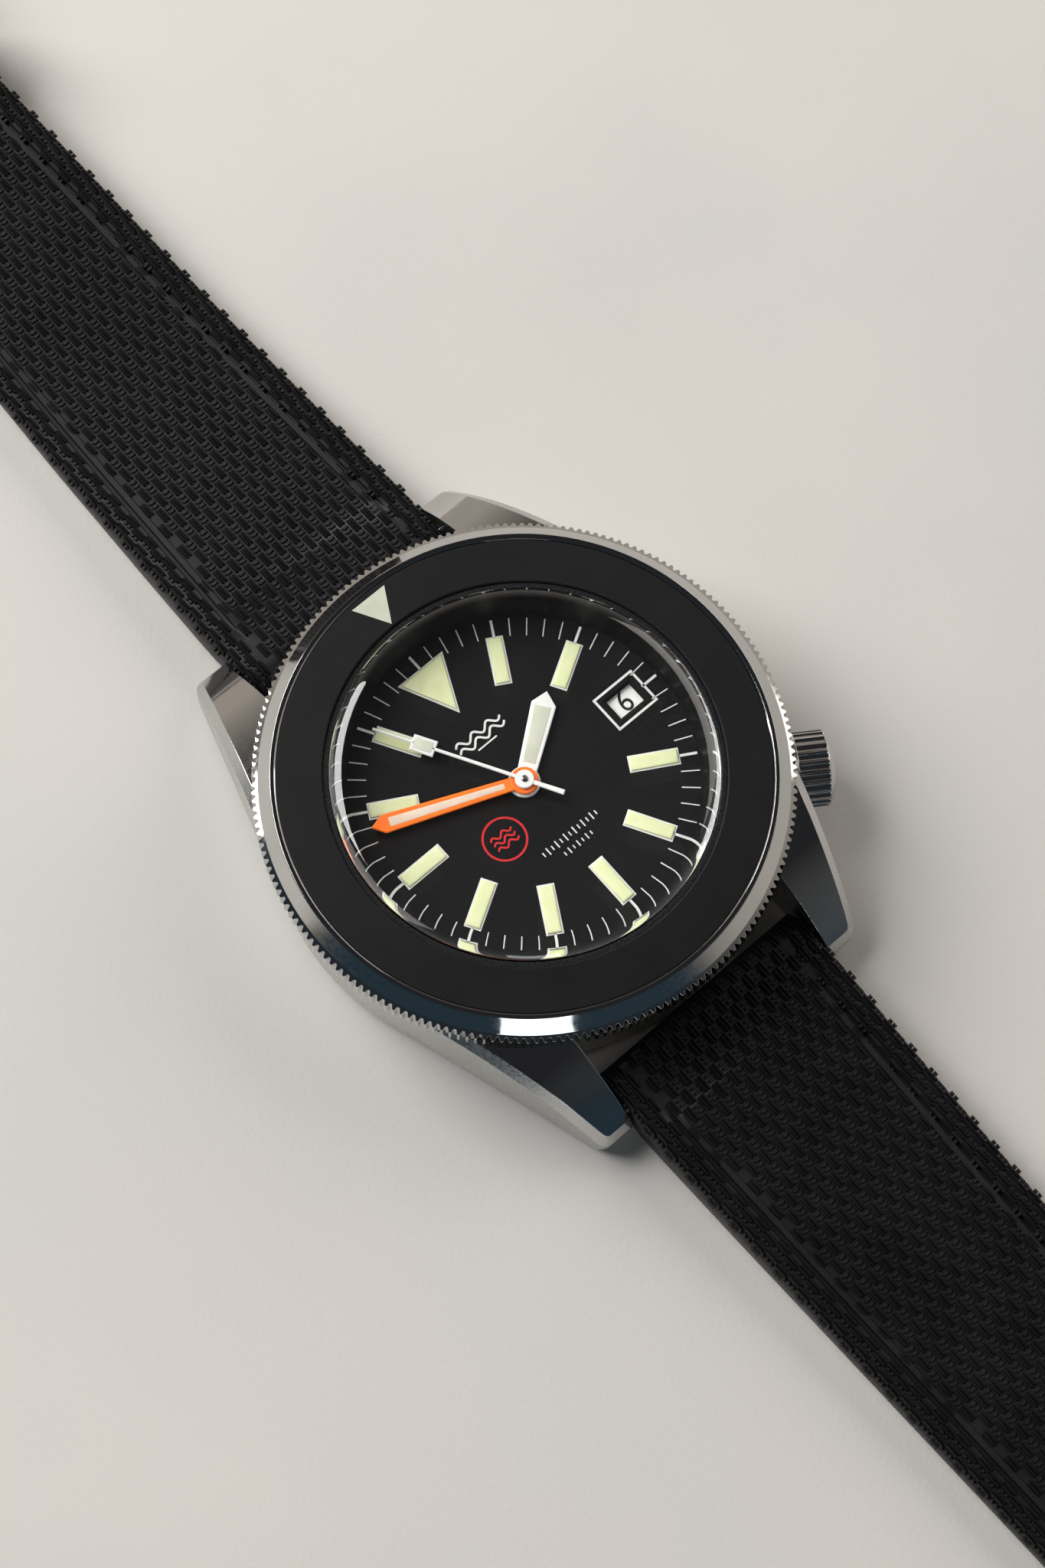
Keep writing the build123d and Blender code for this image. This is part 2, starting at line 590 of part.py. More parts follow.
with BuildPart() as balance_wheel:
    with BuildSketch(Plane.XY.offset(3.8)) as balance_rim:
        with Locations(balance_at):
            Circle(4.0)
            Circle(3.45, mode=Mode.SUBTRACT)
            Rectangle(7.2, 0.5)
            Rectangle(0.5, 7.2)
    extrude(balance_rim.sketch, amount=0.28)
    drum(0.6, 3.75, 4.08, balance_at)
    drum(0.45, 4.08, 4.25, balance_at)
    drum(0.12, 2.95, 6.1, balance_at)
save(balance_wheel, "balance_wheel")

with BuildPart() as hairspring:
    spiral_band(0.7, 2.7, 7, 0.06, 3.42, 3.6, balance_at)
save(hairspring, "hairspring")

date_low = 6.86
with BuildPart() as date_disc:
    with BuildSketch(Plane.XY.offset(date_low)):
        Circle(12.3)
        Circle(8.4, mode=Mode.SUBTRACT)
    extrude(amount=0.18)
    with Locations((0, 0, date_low)):
        with PolarLocations(8.4, 31):
            Box(0.5, 0.7, 0.18, align=BOTTOM, mode=Mode.SUBTRACT)
save(date_disc, "date_disc")

# ---- automatic winding: the half-moon rotor ---------------------------------------------------------
with BuildPart() as rotor:
    with BuildSketch(Plane.XY.offset(2.1)):
        with BuildLine():
            CenterArc((0, 0), 13.2, 180, 180)
            Line((13.2, 0), (-13.2, 0))
        make_face()
        Circle(2.6)
    extrude(amount=0.3)
    with BuildSketch(Plane.XY.offset(2.1)) as rotor_rim:
        with BuildLine():
            CenterArc((0, 0), 13.2, 180, 180)
            Line((13.2, 0), (11.2, 0))
            CenterArc((0, 0), 11.2, 0, -180)
            Line((-11.2, 0), (-13.2, 0))
        make_face()
    extrude(rotor_rim.sketch, amount=0.62)
    drum(0.95, 2.1, 2.4, mode=Mode.SUBTRACT)
save(rotor, "rotor")

# ---- crown, stem and keyless work -----------------------------------------------------------------
with BuildPart() as crown:
    with BuildSketch(Plane.XZ) as crown_section:
        with BuildLine():
            Polyline((0, crown_dome), (0, crown_in), (crown_r - 0.25, crown_in),
                     (crown_r - 0.1, crown_in + 0.2), (crown_r, crown_in + 0.45), (crown_r, crown_out - 0.15), (crown_r - 0.2, crown_out))
            ThreePointArc((crown_r - 0.2, crown_out),
                          dome_middle(crown_r - 0.2, crown_dome - crown_out, crown_dome), (0, crown_dome))
        make_face()
    crown_blank = revolve(crown_section.sketch, axis=Axis.Z, mode=Mode.PRIVATE)
    add(stem_plane.location * crown_blank)
    with BuildSketch(stem_plane.offset(crown_in + 0.45)) as flutes:
        with PolarLocations(crown_r + 0.16, crown_flutes):
            Circle(0.36)
    extrude(flutes.sketch, amount=crown_out - crown_in - 0.6, mode=Mode.SUBTRACT)
    stem_drum(1.55, crown_in - 1, 22.3, mode=Mode.SUBTRACT)
    stem_drum(0.5, 22, 23.0, mode=Mode.SUBTRACT)
save(crown, "crown")

with BuildPart() as crown_gasket:
    stem_drum(1.55, 21.2, 21.6)
    stem_drum(1.3, 21, 22, mode=Mode.SUBTRACT)
save(crown_gasket, "crown_gasket")

with BuildPart() as winding_stem:
    stem_drum(0.4, 4.9, 9.3)
    stem_drum(0.5, 9.3, 9.825)
    stem_drum(0.25, 9.825, 10.175)
    stem_drum(0.5, 10.175, 23.0)
save(winding_stem, "winding_stem")

with BuildPart() as winding_pinion:
    with BuildSketch(stem_plane.offset(7.95)):
        Circle(1.5)
        with PolarLocations(1.5, 14):
            Circle(0.13, mode=Mode.SUBTRACT)
        Circle(0.45, mode=Mode.SUBTRACT)
    extrude(amount=0.75)
save(winding_pinion, "winding_pinion")

with BuildPart() as sliding_pinion:
    with BuildSketch(stem_plane.offset(6.2)):
        Circle(0.85)
        with PolarLocations(0.85, 12):
            Circle(0.1, mode=Mode.SUBTRACT)
        Circle(0.45, mode=Mode.SUBTRACT)
    extrude(amount=1.65)
save(sliding_pinion, "sliding_pinion")

lever_plane_low = Plane(origin=(0, 0, 5.05), x_dir=(*stem_out, 0), z_dir=(0, 0, 1))
with BuildPart() as setting_lever:
    with BuildSketch(lever_plane_low):
        with Locations((10.8, 2.4)):
            Circle(0.6)
        with Locations((10.0, 0)):
            Circle(0.32)
        make_hull()
        with Locations((10.8, 2.4)):
            Circle(0.35, mode=Mode.SUBTRACT)
    extrude(amount=0.2)
    with BuildSketch(lever_plane_low.offset(-0.33)) as lever_pin:
        with Locations((10.0, 0)):
            Circle(0.14)
    extrude(lever_pin.sketch, amount=0.4)
save(setting_lever, "setting_lever")

# ---- spring bars ---------------------------------------------------------------------------------
for side, name in ((1, "12"), (-1, "6")):
    bar_plane = Plane(origin=(0, side * bar_y, bar_z), x_dir=(0, 1, 0), z_dir=(1, 0, 0))
    with BuildPart() as spring_bar:
        for radius, start, end in ((0.88, -9.4, 8.5), (0.42, -10.9, -9.4)):
            with BuildSketch(bar_plane.offset(start)) as bar_disc:
                Circle(radius)
            extrude(bar_disc.sketch, amount=end - start)
        with BuildSketch(bar_plane.offset(4.9)) as bar_bore:
            Circle(0.47)
        extrude(bar_bore.sketch, amount=4, mode=Mode.SUBTRACT)
    save(spring_bar, f"spring_bar_{name}")
    with BuildPart() as spring_bar_tip:
        for radius, start, end in ((0.42, 6.0, 10.9), (0.7, 9.5, 9.7)):
            with BuildSketch(bar_plane.offset(start)) as tip_disc:
                Circle(radius)
            extrude(tip_disc.sketch, amount=end - start)
    save(spring_bar_tip, f"spring_bar_{name}_tip")

# ---- strap ------------------------------------------------------------------------------------------
bar_bore_r = 0.9


def strap_outline(end_y):
    """Plan of a strap half: straight between the lugs, then tapering, then parallel to its end."""
    right = [
        (9.85, 18), (9.85, 24.1), (strap_half, 24.6), (strap_half_end, strap_end_y), (strap_half_end, end_y),
    ]
    return right + [(-x, y) for x, y in reversed(right)]


with BuildPart() as strap_12:
    with BuildSketch(Plane.YZ):
        with BuildLine():
            ThreePointArc((bar_y, bar_z + strap_thick_end), (bar_y - strap_thick_end, bar_z),
                          (bar_y, bar_z - strap_thick_end))
            Polyline((bar_y, bar_z - strap_thick_end), (27, 0.35), (34, 0.05), (46, 0.05), (58, 1.15),
                     (buckle_bar_y, 1.15))
            ThreePointArc((buckle_bar_y, 1.15), (buckle_bar_y + 1.15, buckle_bar_z), (buckle_bar_y, 3.45))
            Spline((buckle_bar_y, 3.45), (60, 3.55), (46, 3.2), (34, 3.75), (bar_y, bar_z + strap_thick_end))
        make_face()
    extrude(amount=12, both=True)
    with BuildSketch(Plane.XY.offset(-1)) as strap_plan:
        Polygon(*strap_outline(99), align=None)
    extrude(strap_plan.sketch, amount=9, mode=Mode.INTERSECT)
    with Locations((0, bar_y, bar_z), (0, buckle_bar_y, buckle_bar_z)):
        Cylinder(bar_bore_r, 30, rotation=(0, 90, 0), mode=Mode.SUBTRACT)
    with Locations((0, 96, 0)):
        Box(2.5, 8.4, 10, mode=Mode.SUBTRACT)
save(strap_12, "strap_12")

strap_hole_pitch, strap_holes = 6.8, 9
with BuildPart() as strap_6:
    with BuildSketch(Plane.YZ):
        with BuildLine():
            ThreePointArc((-bar_y, bar_z + strap_thick_end), (strap_thick_end - bar_y, bar_z),
                          (-bar_y, bar_z - strap_thick_end))
            Polyline((-bar_y, bar_z - strap_thick_end), (-27, 0.35), (-34, 0.05), (tail_y, 0.05),
                     (tail_y, 2.35))
            Spline((tail_y, 2.35), (-60, 2.75), (-46, 3.1), (-34, 3.75), (-bar_y, bar_z + strap_thick_end))
        make_face()
    extrude(amount=12, both=True)
    with BuildSketch(Plane.XY.offset(-1)) as tail_plan:
        Polygon(*[(x, -y) for x, y in strap_outline(-tail_y - strap_half_end)], align=None)
        with Locations((0, tail_y + strap_half_end)):
            Circle(strap_half_end)
    extrude(tail_plan.sketch, amount=9, mode=Mode.INTERSECT)
    with Locations((0, -bar_y, bar_z)):
        Cylinder(bar_bore_r, 30, rotation=(0, 90, 0), mode=Mode.SUBTRACT)
    for hole in range(strap_holes):
        with BuildSketch(Plane.XY.offset(-1)) as hole_shape:
            with Locations((0, tail_y + 24 + hole * strap_hole_pitch)):
                SlotOverall(3.2, 2.3, rotation=0)
        extrude(hole_shape.sketch, amount=9, mode=Mode.SUBTRACT)
save(strap_6, "strap_6")

# ---- buckle and keepers -----------------------------------------------------------------------------
buckle_plane = Plane(origin=(0, buckle_bar_y, buckle_bar_z), x_dir=(0, 1, 0), z_dir=(1, 0, 0))
with BuildPart() as buckle_bar:
    with BuildSketch(buckle_plane):
        Circle(buckle_bar_r)
    extrude(amount=9.9, both=True)
save(buckle_bar, "buckle_bar")

with BuildPart() as buckle_frame:
    with BuildSketch(buckle_plane):
        Circle(1.15)
        with Locations((12.0, 0)):
            Circle(1.15)
        make_hull()
    extrude(amount=10.4, both=True)
    with Locations((0, buckle_bar_y + 4.1, buckle_bar_z)):
        Box(16.8, 12.6, 6, mode=Mode.SUBTRACT)
    with BuildSketch(buckle_plane) as bar_holes:
        Circle(0.95)
    extrude(bar_holes.sketch, amount=10.0, both=True, mode=Mode.SUBTRACT)
save(buckle_frame, "buckle_frame")

with BuildPart() as buckle_tongue:
    with BuildSketch(Plane.YZ):
        with BuildLine():
            Polyline((96.4, 3.75), (108.6, 4.45), (109.3, 4.05), (109.2, 3.55), (98.0, 3.05), (96.4, 2.9),
                     close=True)
        make_face()
        with Locations((buckle_bar_y, buckle_bar_z)):
            Circle(1.45)
            Circle(0.95, mode=Mode.SUBTRACT)
    extrude(amount=1.0, both=True)
save(buckle_tongue, "buckle_tongue")


def keeper_loop(low_y, high_y, inner_half):
    """A flat loop round both layers of strap, with rounded corners."""
    with BuildSketch(Plane.XZ.offset(-high_y)) as loop:
        with Locations((0, 3.62)):
            RectangleRounded(2 * inner_half + 1.9, 7.1, 1.2)
            RectangleRounded(2 * inner_half, 5.2, 0.5, mode=Mode.SUBTRACT)
    extrude(loop.sketch, amount=high_y - low_y)


with BuildPart() as fixed_keeper:
    keeper_loop(86, 90.2, 8.45)
save(fixed_keeper, "fixed_keeper")

with BuildPart() as free_keeper:
    keeper_loop(77.0, 81.5, 8.95)
save(free_keeper, "free_keeper")
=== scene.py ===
from math import atan2, cos, hypot, pi, radians, sin, sqrt

import bmesh
import bpy
from mathutils import Matrix, Vector
from mathutils.bvhtree import BVHTree


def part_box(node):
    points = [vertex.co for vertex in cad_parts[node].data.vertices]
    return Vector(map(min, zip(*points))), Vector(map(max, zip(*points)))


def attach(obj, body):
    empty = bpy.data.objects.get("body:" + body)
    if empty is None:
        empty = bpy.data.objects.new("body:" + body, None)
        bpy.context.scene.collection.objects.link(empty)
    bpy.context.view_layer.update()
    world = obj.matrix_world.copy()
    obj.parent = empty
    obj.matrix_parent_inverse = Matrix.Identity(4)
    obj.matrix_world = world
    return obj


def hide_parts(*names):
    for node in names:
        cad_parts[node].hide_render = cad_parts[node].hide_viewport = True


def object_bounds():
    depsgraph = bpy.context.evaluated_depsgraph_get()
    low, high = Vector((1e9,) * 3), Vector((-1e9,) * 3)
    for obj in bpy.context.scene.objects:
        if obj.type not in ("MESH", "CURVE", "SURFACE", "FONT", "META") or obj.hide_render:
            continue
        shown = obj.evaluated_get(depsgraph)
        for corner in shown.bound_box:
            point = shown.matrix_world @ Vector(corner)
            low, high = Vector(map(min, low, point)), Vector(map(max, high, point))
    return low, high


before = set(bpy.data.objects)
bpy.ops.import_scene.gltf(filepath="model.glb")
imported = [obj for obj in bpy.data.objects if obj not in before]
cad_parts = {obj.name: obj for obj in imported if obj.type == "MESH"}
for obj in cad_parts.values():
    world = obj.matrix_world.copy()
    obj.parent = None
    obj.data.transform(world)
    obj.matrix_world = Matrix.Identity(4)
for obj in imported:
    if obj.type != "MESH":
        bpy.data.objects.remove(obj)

# ---- table, light and camera -------------------------------------------------------------------
# The watch lies on its case back on a pale matt table. One wide soft window lights it from the
# upper left, a weaker one from the right, and the room is warm on one side and dim on the other.
mm = 0.001
scene = bpy.context.scene
cad_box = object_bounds()


def screen(red, green, blue):
    """A colour given as it looks on a screen, 0 to 255, made linear."""
    return (*[((c / 255 + 0.055) / 1.055) ** 2.4 if c > 10 else c / 3295 for c in (red, green, blue)], 1.0)


def add(tree, kind, inputs=None, **settings):
    """One node: settings are its own properties, inputs its sockets by name or number."""
    made = tree.nodes.new(kind)
    for key, value in settings.items():
        setattr(made, key, value)
    for key, value in (inputs or {}).items():
        if isinstance(value, bpy.types.NodeSocket):
            tree.links.new(value, made.inputs[key])
        else:
            made.inputs[key].default_value = value
    return made


def reckon(tree, operation, *values):
    """The result of a Math node; the values are numbers or sockets."""
    return add(tree, "ShaderNodeMath", dict(enumerate(values)), operation=operation).outputs[0]


def spread(tree, value, low, high, to_low, to_high):
    """A value mapped from one range to another, and held inside it."""
    ends = {"Value": value, "From Min": low, "From Max": high, "To Min": to_low, "To Max": to_high}
    return add(tree, "ShaderNodeMapRange", ends).outputs["Result"]


def blended(tree, share, first, second):
    """Two colours mixed by a share."""
    return add(tree, "ShaderNodeMix", {"Factor": share, 6: first, 7: second}, data_type="RGBA").outputs[2]


def new_group(name, kind, inputs, outputs):
    """A node group with named sockets, and its input and output nodes."""
    tree = bpy.data.node_groups.new(name, kind)
    for way, sockets in (("INPUT", inputs), ("OUTPUT", outputs)):
        for label, (socket_type, start) in sockets.items():
            made = tree.interface.new_socket(label, in_out=way, socket_type="NodeSocket" + socket_type)
            if start is not None:
                made.default_value = start
    return tree, add(tree, "NodeGroupInput").outputs, add(tree, "NodeGroupOutput").inputs


# Grain, patches, rounded edges and a lighter edge colour, partly painted highlight and partly wear: what every
# finish on the watch has in common.
finish_sockets = {
    "Colour": ("Color", (0.5, 0.5, 0.5, 1)), "Patches": ("Color", (0.45, 0.45, 0.45, 1)),
    "Edge glint and wear": ("Color", (0.6, 0.6, 0.6, 1)), "Patch scale": ("Float", 300.0),
    "Grain scale": ("Float", 6000.0), "Smooth": ("Float", 0.3), "Rough": ("Float", 0.4),
    "Depth": ("Float", 0.004 * mm), "Edge": ("Float", 0.05 * mm),
}
finish_group, given, result = new_group(
    "worked_surface", "ShaderNodeTree", finish_sockets,
    {"Color": ("Color", None), "Roughness": ("Float", None), "Normal": ("Vector", None)},
)
place = add(finish_group, "ShaderNodeTexCoord").outputs["Object"]
patches, grain = (
    add(finish_group, "ShaderNodeTexNoise", {
        "Vector": place, "Scale": given[size], "Detail": detail}).outputs[0]
    for size, detail in (("Patch scale", 4.0), ("Grain scale", 3.0)))
rounded = add(finish_group, "ShaderNodeBevel", {"Radius": given["Edge"]}, samples=4).outputs[0]
flat_normal = add(finish_group, "ShaderNodeNewGeometry").outputs["Normal"]
turn = add(finish_group, "ShaderNodeVectorMath", {0: rounded, 1: flat_normal},
           operation="DOT_PRODUCT").outputs["Value"]
# Rounded edges get a lighter colour, partly painted edge highlight and partly wear.
edge_glint_and_wear_share = spread(finish_group, turn, 0.995, 0.86, 0.0, 1.0)
patchy = spread(finish_group, patches, 0.35, 0.65, 0, 1)
ground = blended(finish_group, patchy, given["Colour"], given["Patches"])
finish_group.links.new(blended(finish_group, edge_glint_and_wear_share, ground, given["Edge glint and wear"]), result["Color"])
uneven = reckon(finish_group, "MULTIPLY_ADD", patches, 0.5, reckon(finish_group, "MULTIPLY", grain, 0.5))
roughness = add(finish_group, "ShaderNodeMapRange", {"Value": uneven, "From Min": 0.35, "From Max": 0.65,
                                                     "To Min": given["Smooth"], "To Max": given["Rough"]})
finish_group.links.new(roughness.outputs["Result"], result["Roughness"])
bumps = add(finish_group, "ShaderNodeBump", {"Height": grain, "Distance": given["Depth"], "Normal": rounded})
finish_group.links.new(bumps.outputs[0], result["Normal"])


def new_finish(name, worked, **constants):
    """A material with the worked surface's colour, roughness and normal; constants sit on its shader."""
    made = bpy.data.materials.new(name)
    made.use_nodes = True
    tree = made.node_tree
    shader = tree.nodes["Principled BSDF"]
    surface = add(tree, "ShaderNodeGroup", worked, node_tree=finish_group)
    for socket, output in (("Base Color", "Color"), ("Roughness", "Roughness"), ("Normal", "Normal")):
        tree.links.new(surface.outputs[output], shader.inputs[socket])
    for key, value in constants.items():
        shader.inputs[key.replace("_", " ")].default_value = value
    return made, tree, shader, surface


def mesh_of(name, points, faces, sharp=35):
    """A closed mesh with its faces turned outwards, smooth but for its sharp edges."""
    mesh = bpy.data.meshes.new(name)
    mesh.from_pydata([tuple(p) for p in points], [], faces)
    shape = bmesh.new()
    shape.from_mesh(mesh)
    bmesh.ops.remove_doubles(shape, verts=shape.verts, dist=0.0005 * mm)
    bmesh.ops.delete(shape, geom=[edge for edge in shape.edges if not edge.link_faces], context="EDGES")
    bmesh.ops.recalc_face_normals(shape, faces=shape.faces)
    shape.to_mesh(mesh)
    shape.free()
    mesh.shade_smooth()
    mesh.set_sharp_from_angle(angle=radians(sharp))
    return mesh


table_finish = new_finish("table_paper", {
    "Colour": screen(214, 210, 205), "Patches": screen(208, 206, 202), "Edge glint and wear": screen(214, 210, 205),
    "Patch scale": 25.0, "Grain scale": 2500.0, "Smooth": 0.75, "Rough": 0.9, "Depth": 0.02 * mm, "Edge": 0.0,
})[0]
table_half, table_drop = 1.5, 0.03 * mm
table_level = cad_box[0].z - table_drop
corners = [(x * table_half, y * table_half, table_level) for x, y in ((-1, -1), (1, -1), (1, 1), (-1, 1))]
table_mesh = bpy.data.meshes.new("table")
table_mesh.from_pydata(corners, [], [(0, 1, 2, 3)])
table_mesh.materials.append(table_finish)
table = bpy.data.objects.new("table", table_mesh)
scene.collection.objects.link(table)

camera = bpy.data.objects.new("camera", bpy.data.cameras.new("camera"))
camera.data.lens, camera.data.sensor_width = 72, 36
camera.data.clip_start, camera.data.clip_end = 0.01, 10
camera.location = (-51.67 * mm, -49.99 * mm, 231.5 * mm)
camera.rotation_euler = (radians(17.82), radians(-1.51), radians(-41.16))
scene.collection.objects.link(camera)
scene.camera = camera

view_right = Vector((0.753, -0.658, 0.0))
view_up = Vector((0.658, 0.753, 0.0))
lights = [
    ("window", -0.42, 0.20, 0.42, 0.42, 4.7, (1.0, 0.99, 0.97)),
    ("far_wall", 0.40, 0.34, 0.38, 0.50, 1.5, (1.0, 0.95, 0.9)),
    ("low_strip", 0.05, -0.60, 0.16, 0.22, 0.5, (0.9, 0.97, 1.0)),
]
for name, right, up, high, size, power, colour in lights:
    lamp = bpy.data.lights.new(name, "AREA")
    lamp.shape, lamp.size, lamp.energy, lamp.color = "SQUARE", size, power, colour
    holder = bpy.data.objects.new(name, lamp)
    holder.location = view_right * right + view_up * up + Vector((0, 0, high))
    holder.rotation_euler = (-holder.location).to_track_quat("-Z", "Y").to_euler()
    scene.collection.objects.link(holder)

room = bpy.data.worlds.new("room")
room.use_nodes = True
looking = add(room.node_tree, "ShaderNodeTexCoord").outputs["Generated"]
side = add(room.node_tree, "ShaderNodeVectorMath", {0: looking, 1: 0.42 * view_right + 0.91 * view_up},
           operation="DOT_PRODUCT").outputs["Value"]
dim_side, warm_side, ceiling = (0.035, 0.065, 0.09, 1), (0.68, 0.61, 0.54, 1), (0.035, 0.036, 0.04, 1)
walls = blended(room.node_tree, spread(room.node_tree, side, -0.2, 0.35, 0, 1), dim_side, warm_side)
up_share = add(room.node_tree, "ShaderNodeSeparateXYZ", {0: looking}).outputs["Z"]
sky = blended(room.node_tree, spread(room.node_tree, up_share, 0.25, 0.8, 0, 1), walls, ceiling)
room.node_tree.links.new(sky, room.node_tree.nodes["Background"].inputs["Color"])
room.node_tree.nodes["Background"].inputs["Strength"].default_value = 0.75
scene.world = room
scene.view_settings.view_transform = "Standard"

# ---- case ---------------------------------------------------------------------------------------
# The middle case is milled from stainless steel: its flat tops are mirror polished, its flanks and
# the bevel round its lugs are brushed. The back is turned and screws in, the crown tube is pressed in.
steel = screen(196, 195, 192)
steel_patches = screen(188, 188, 187)
# The lighter steel for rounded edges: painted edge highlight, and wear.
steel_glint_and_wear = screen(214, 213, 210)


def dress(material, *nodes):
    """Give CAD nodes their finish."""
    for node in nodes:
        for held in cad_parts[node].material_slots:
            held.material = material


# Brush lines: long fine scratches along one direction, from stretched noise.
brush_group, given, result = new_group(
    "brush_lines", "ShaderNodeTree",
    {"Stretch": ("Vector", (300, 9000, 9000)), "Smooth": ("Float", 0.2), "Rough": ("Float", 0.4),
     "Depth": ("Float", 0.002 * mm), "Normal": ("Vector", None), "Ringed": ("Float", 0.0)},
    {"Roughness": ("Float", None), "Normal": ("Vector", None)},
)
place = add(brush_group, "ShaderNodeTexCoord").outputs["Object"]
parts = add(brush_group, "ShaderNodeSeparateXYZ", {0: place}).outputs
turned_place = add(brush_group, "ShaderNodeCombineXYZ", {
    "X": add(brush_group, "ShaderNodeVectorMath", {0: add(brush_group, "ShaderNodeCombineXYZ", {
        "X": parts["X"], "Y": parts["Y"]}).outputs[0]}, operation="LENGTH").outputs["Value"],
    "Y": reckon(brush_group, "MULTIPLY", reckon(brush_group, "ARCTAN2", parts["Y"], parts["X"]), 0.01),
    "Z": parts["Z"],
}).outputs[0]
chosen = add(brush_group, "ShaderNodeMix", {"Factor": given["Ringed"], 4: place, 5: turned_place},
             data_type="VECTOR").outputs[1]
stretched = add(brush_group, "ShaderNodeVectorMath", {0: chosen, 1: given["Stretch"]},
                operation="MULTIPLY").outputs[0]
lines = add(brush_group, "ShaderNodeTexNoise", {"Vector": stretched, "Scale": 1.0, "Detail": 4.0}).outputs[0]
line_rough = add(brush_group, "ShaderNodeMapRange", {"Value": lines, "From Min": 0.3, "From Max": 0.7,
                                                     "To Min": given["Smooth"], "To Max": given["Rough"]})
brush_group.links.new(line_rough.outputs["Result"], result["Roughness"])
line_bump = add(brush_group, "ShaderNodeBump", {
    "Height": lines, "Distance": given["Depth"], "Normal": given["Normal"]})
brush_group.links.new(line_bump.outputs[0], result["Normal"])


def new_metal(name, colour, patches, glint_and_wear, smooth, rough, stretch=None, ringed=0.0, depth=0.0005, edge=0.06,
              where=None):
    """A metal finish. With a stretch it is brushed, all over or only where the given mask maker says."""
    worked = {"Colour": colour, "Patches": patches, "Edge glint and wear": glint_and_wear, "Patch scale": 180.0,
              "Grain scale": 2600.0, "Smooth": smooth, "Rough": rough, "Depth": 0.0002 * mm, "Edge": edge * mm}
    made, tree, shader, surface = new_finish(name, worked, Metallic=1.0)
    if stretch:
        brushed = add(tree, "ShaderNodeGroup", {
            "Stretch": stretch, "Smooth": max(smooth, 0.2), "Rough": max(rough, 0.36), "Depth": depth * mm,
            "Normal": surface.outputs["Normal"], "Ringed": ringed}, node_tree=brush_group)
        share = where(tree) if where else 1.0
        for socket, kind, first in (("Roughness", "FLOAT", (2, 3, 0)), ("Normal", "VECTOR", (4, 5, 1))):
            both = add(tree, "ShaderNodeMix", {"Factor": share, first[0]: surface.outputs[socket],
                                               first[1]: brushed.outputs[socket]}, data_type=kind)
            tree.links.new(both.outputs[first[2]], shader.inputs[socket])
    return made


def satin_flanks(tree):
    """1 on faces that look sideways along X or stand upright, 0 on the polished tops."""
    true_normal = add(tree, "ShaderNodeNewGeometry").outputs["True Normal"]
    facing = add(tree, "ShaderNodeSeparateXYZ", {0: true_normal}).outputs
    sideways = reckon(tree, "ABSOLUTE", facing["X"])
    upright = spread(tree, reckon(tree, "ABSOLUTE", facing["Z"]), 0.35, 0.25, 0, 1)
    return reckon(tree, "MAXIMUM", spread(tree, sideways, 0.2, 0.3, 0, 1), upright)


case_steel = new_metal("case_steel", steel, steel_patches, steel_glint_and_wear, 0.05, 0.13,
                       stretch=(9000, 350, 9000), where=satin_flanks)
back_steel = new_metal("case_back_steel", steel, steel_patches, steel_glint_and_wear, 0.14, 0.24,
                       stretch=(9000, 60, 900), ringed=1.0)
dress(case_steel, "mid_case")
dress(back_steel, "case_back", "crown_tube")

rubber_seal = new_finish("seal_rubber", {
    "Colour": screen(26, 26, 28), "Patches": screen(34, 34, 36), "Edge glint and wear": screen(48, 48, 50),
    "Patch scale": 500.0, "Grain scale": 7000.0,
    "Smooth": 0.5, "Rough": 0.68, "Depth": 0.006 * mm, "Edge": 0.05 * mm,
}, IOR=1.45)[0]
dress(rubber_seal, "case_back_gasket", "bezel_gasket", "crown_gasket")

# ---- rotating bezel ------------------------------------------------------------------------------
# A polished steel ring with a fine coin edge snaps over the case neck. A matt black anodised ring
# is glued into it, and a lume triangle is set in that ring. A leaf spring under it gives the clicks.
bezel_steel = new_metal("bezel_steel", steel, steel_patches, steel_glint_and_wear, 0.035, 0.10, edge=0.05)
dress(bezel_steel, "bezel_ring")

insert_black = new_finish("insert_black", {
    "Colour": screen(14, 14, 15), "Patches": screen(18, 18, 19), "Edge glint and wear": screen(52, 52, 54),
    "Patch scale": 220.0, "Grain scale": 9000.0,
    "Smooth": 0.5, "Rough": 0.62, "Depth": 0.004 * mm, "Edge": 0.06 * mm,
}, IOR=1.5, Specular_IOR_Level=0.2)[0]
dress(insert_black, "bezel_insert")


def new_lume(name, colour, patches, glint_and_wear):
    """Luminous paint: chalky, a little translucent, with the fine grain of its pigment."""
    return new_finish(name, {
        "Colour": colour, "Patches": patches, "Edge glint and wear": glint_and_wear, "Patch scale": 900.0, "Grain scale": 11000.0,
        "Smooth": 0.45, "Rough": 0.7, "Depth": 0.008 * mm, "Edge": 0.04 * mm,
    }, Subsurface_Weight=0.15, Subsurface_Radius=(0.2 * mm, 0.2 * mm, 0.12 * mm))[0]


pip_lume = new_lume("pip_lume", screen(208, 212, 196), screen(198, 205, 184), screen(222, 225, 210))
dress(pip_lume, "bezel_pip")
spring_steel = new_metal("spring_steel", screen(168, 168, 170), screen(158, 159, 162), screen(190, 190, 190),
                         0.2, 0.34, stretch=(500, 9000, 9000))
dress(spring_steel, "bezel_click_spring", "mainspring")

# ---- crystal -------------------------------------------------------------------------------------
# A thick domed sapphire, ground and polished, with a strongly rounded shoulder. It is pressed into the case
# neck in a nylon ring painted near black as shade in the gap, and a black polished ring below it frames the
# dial.
crystal_low, crystal_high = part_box("crystal")
crystal_r = crystal_high.x
crystal_skin = 0.01 * mm
shoulder_r, shoulder_drop = 13.2 * mm, 0.32 * mm
shoulder_rise = 1.03 * mm
bottom_edge = 0.12 * mm


def merged(*shapes):
    """Several lists of points and faces as one."""
    points, faces = [], []
    for some_points, some_faces in shapes:
        faces += [tuple(i + len(points) for i in face) for face in some_faces]
        points += list(some_points)
    return points, faces


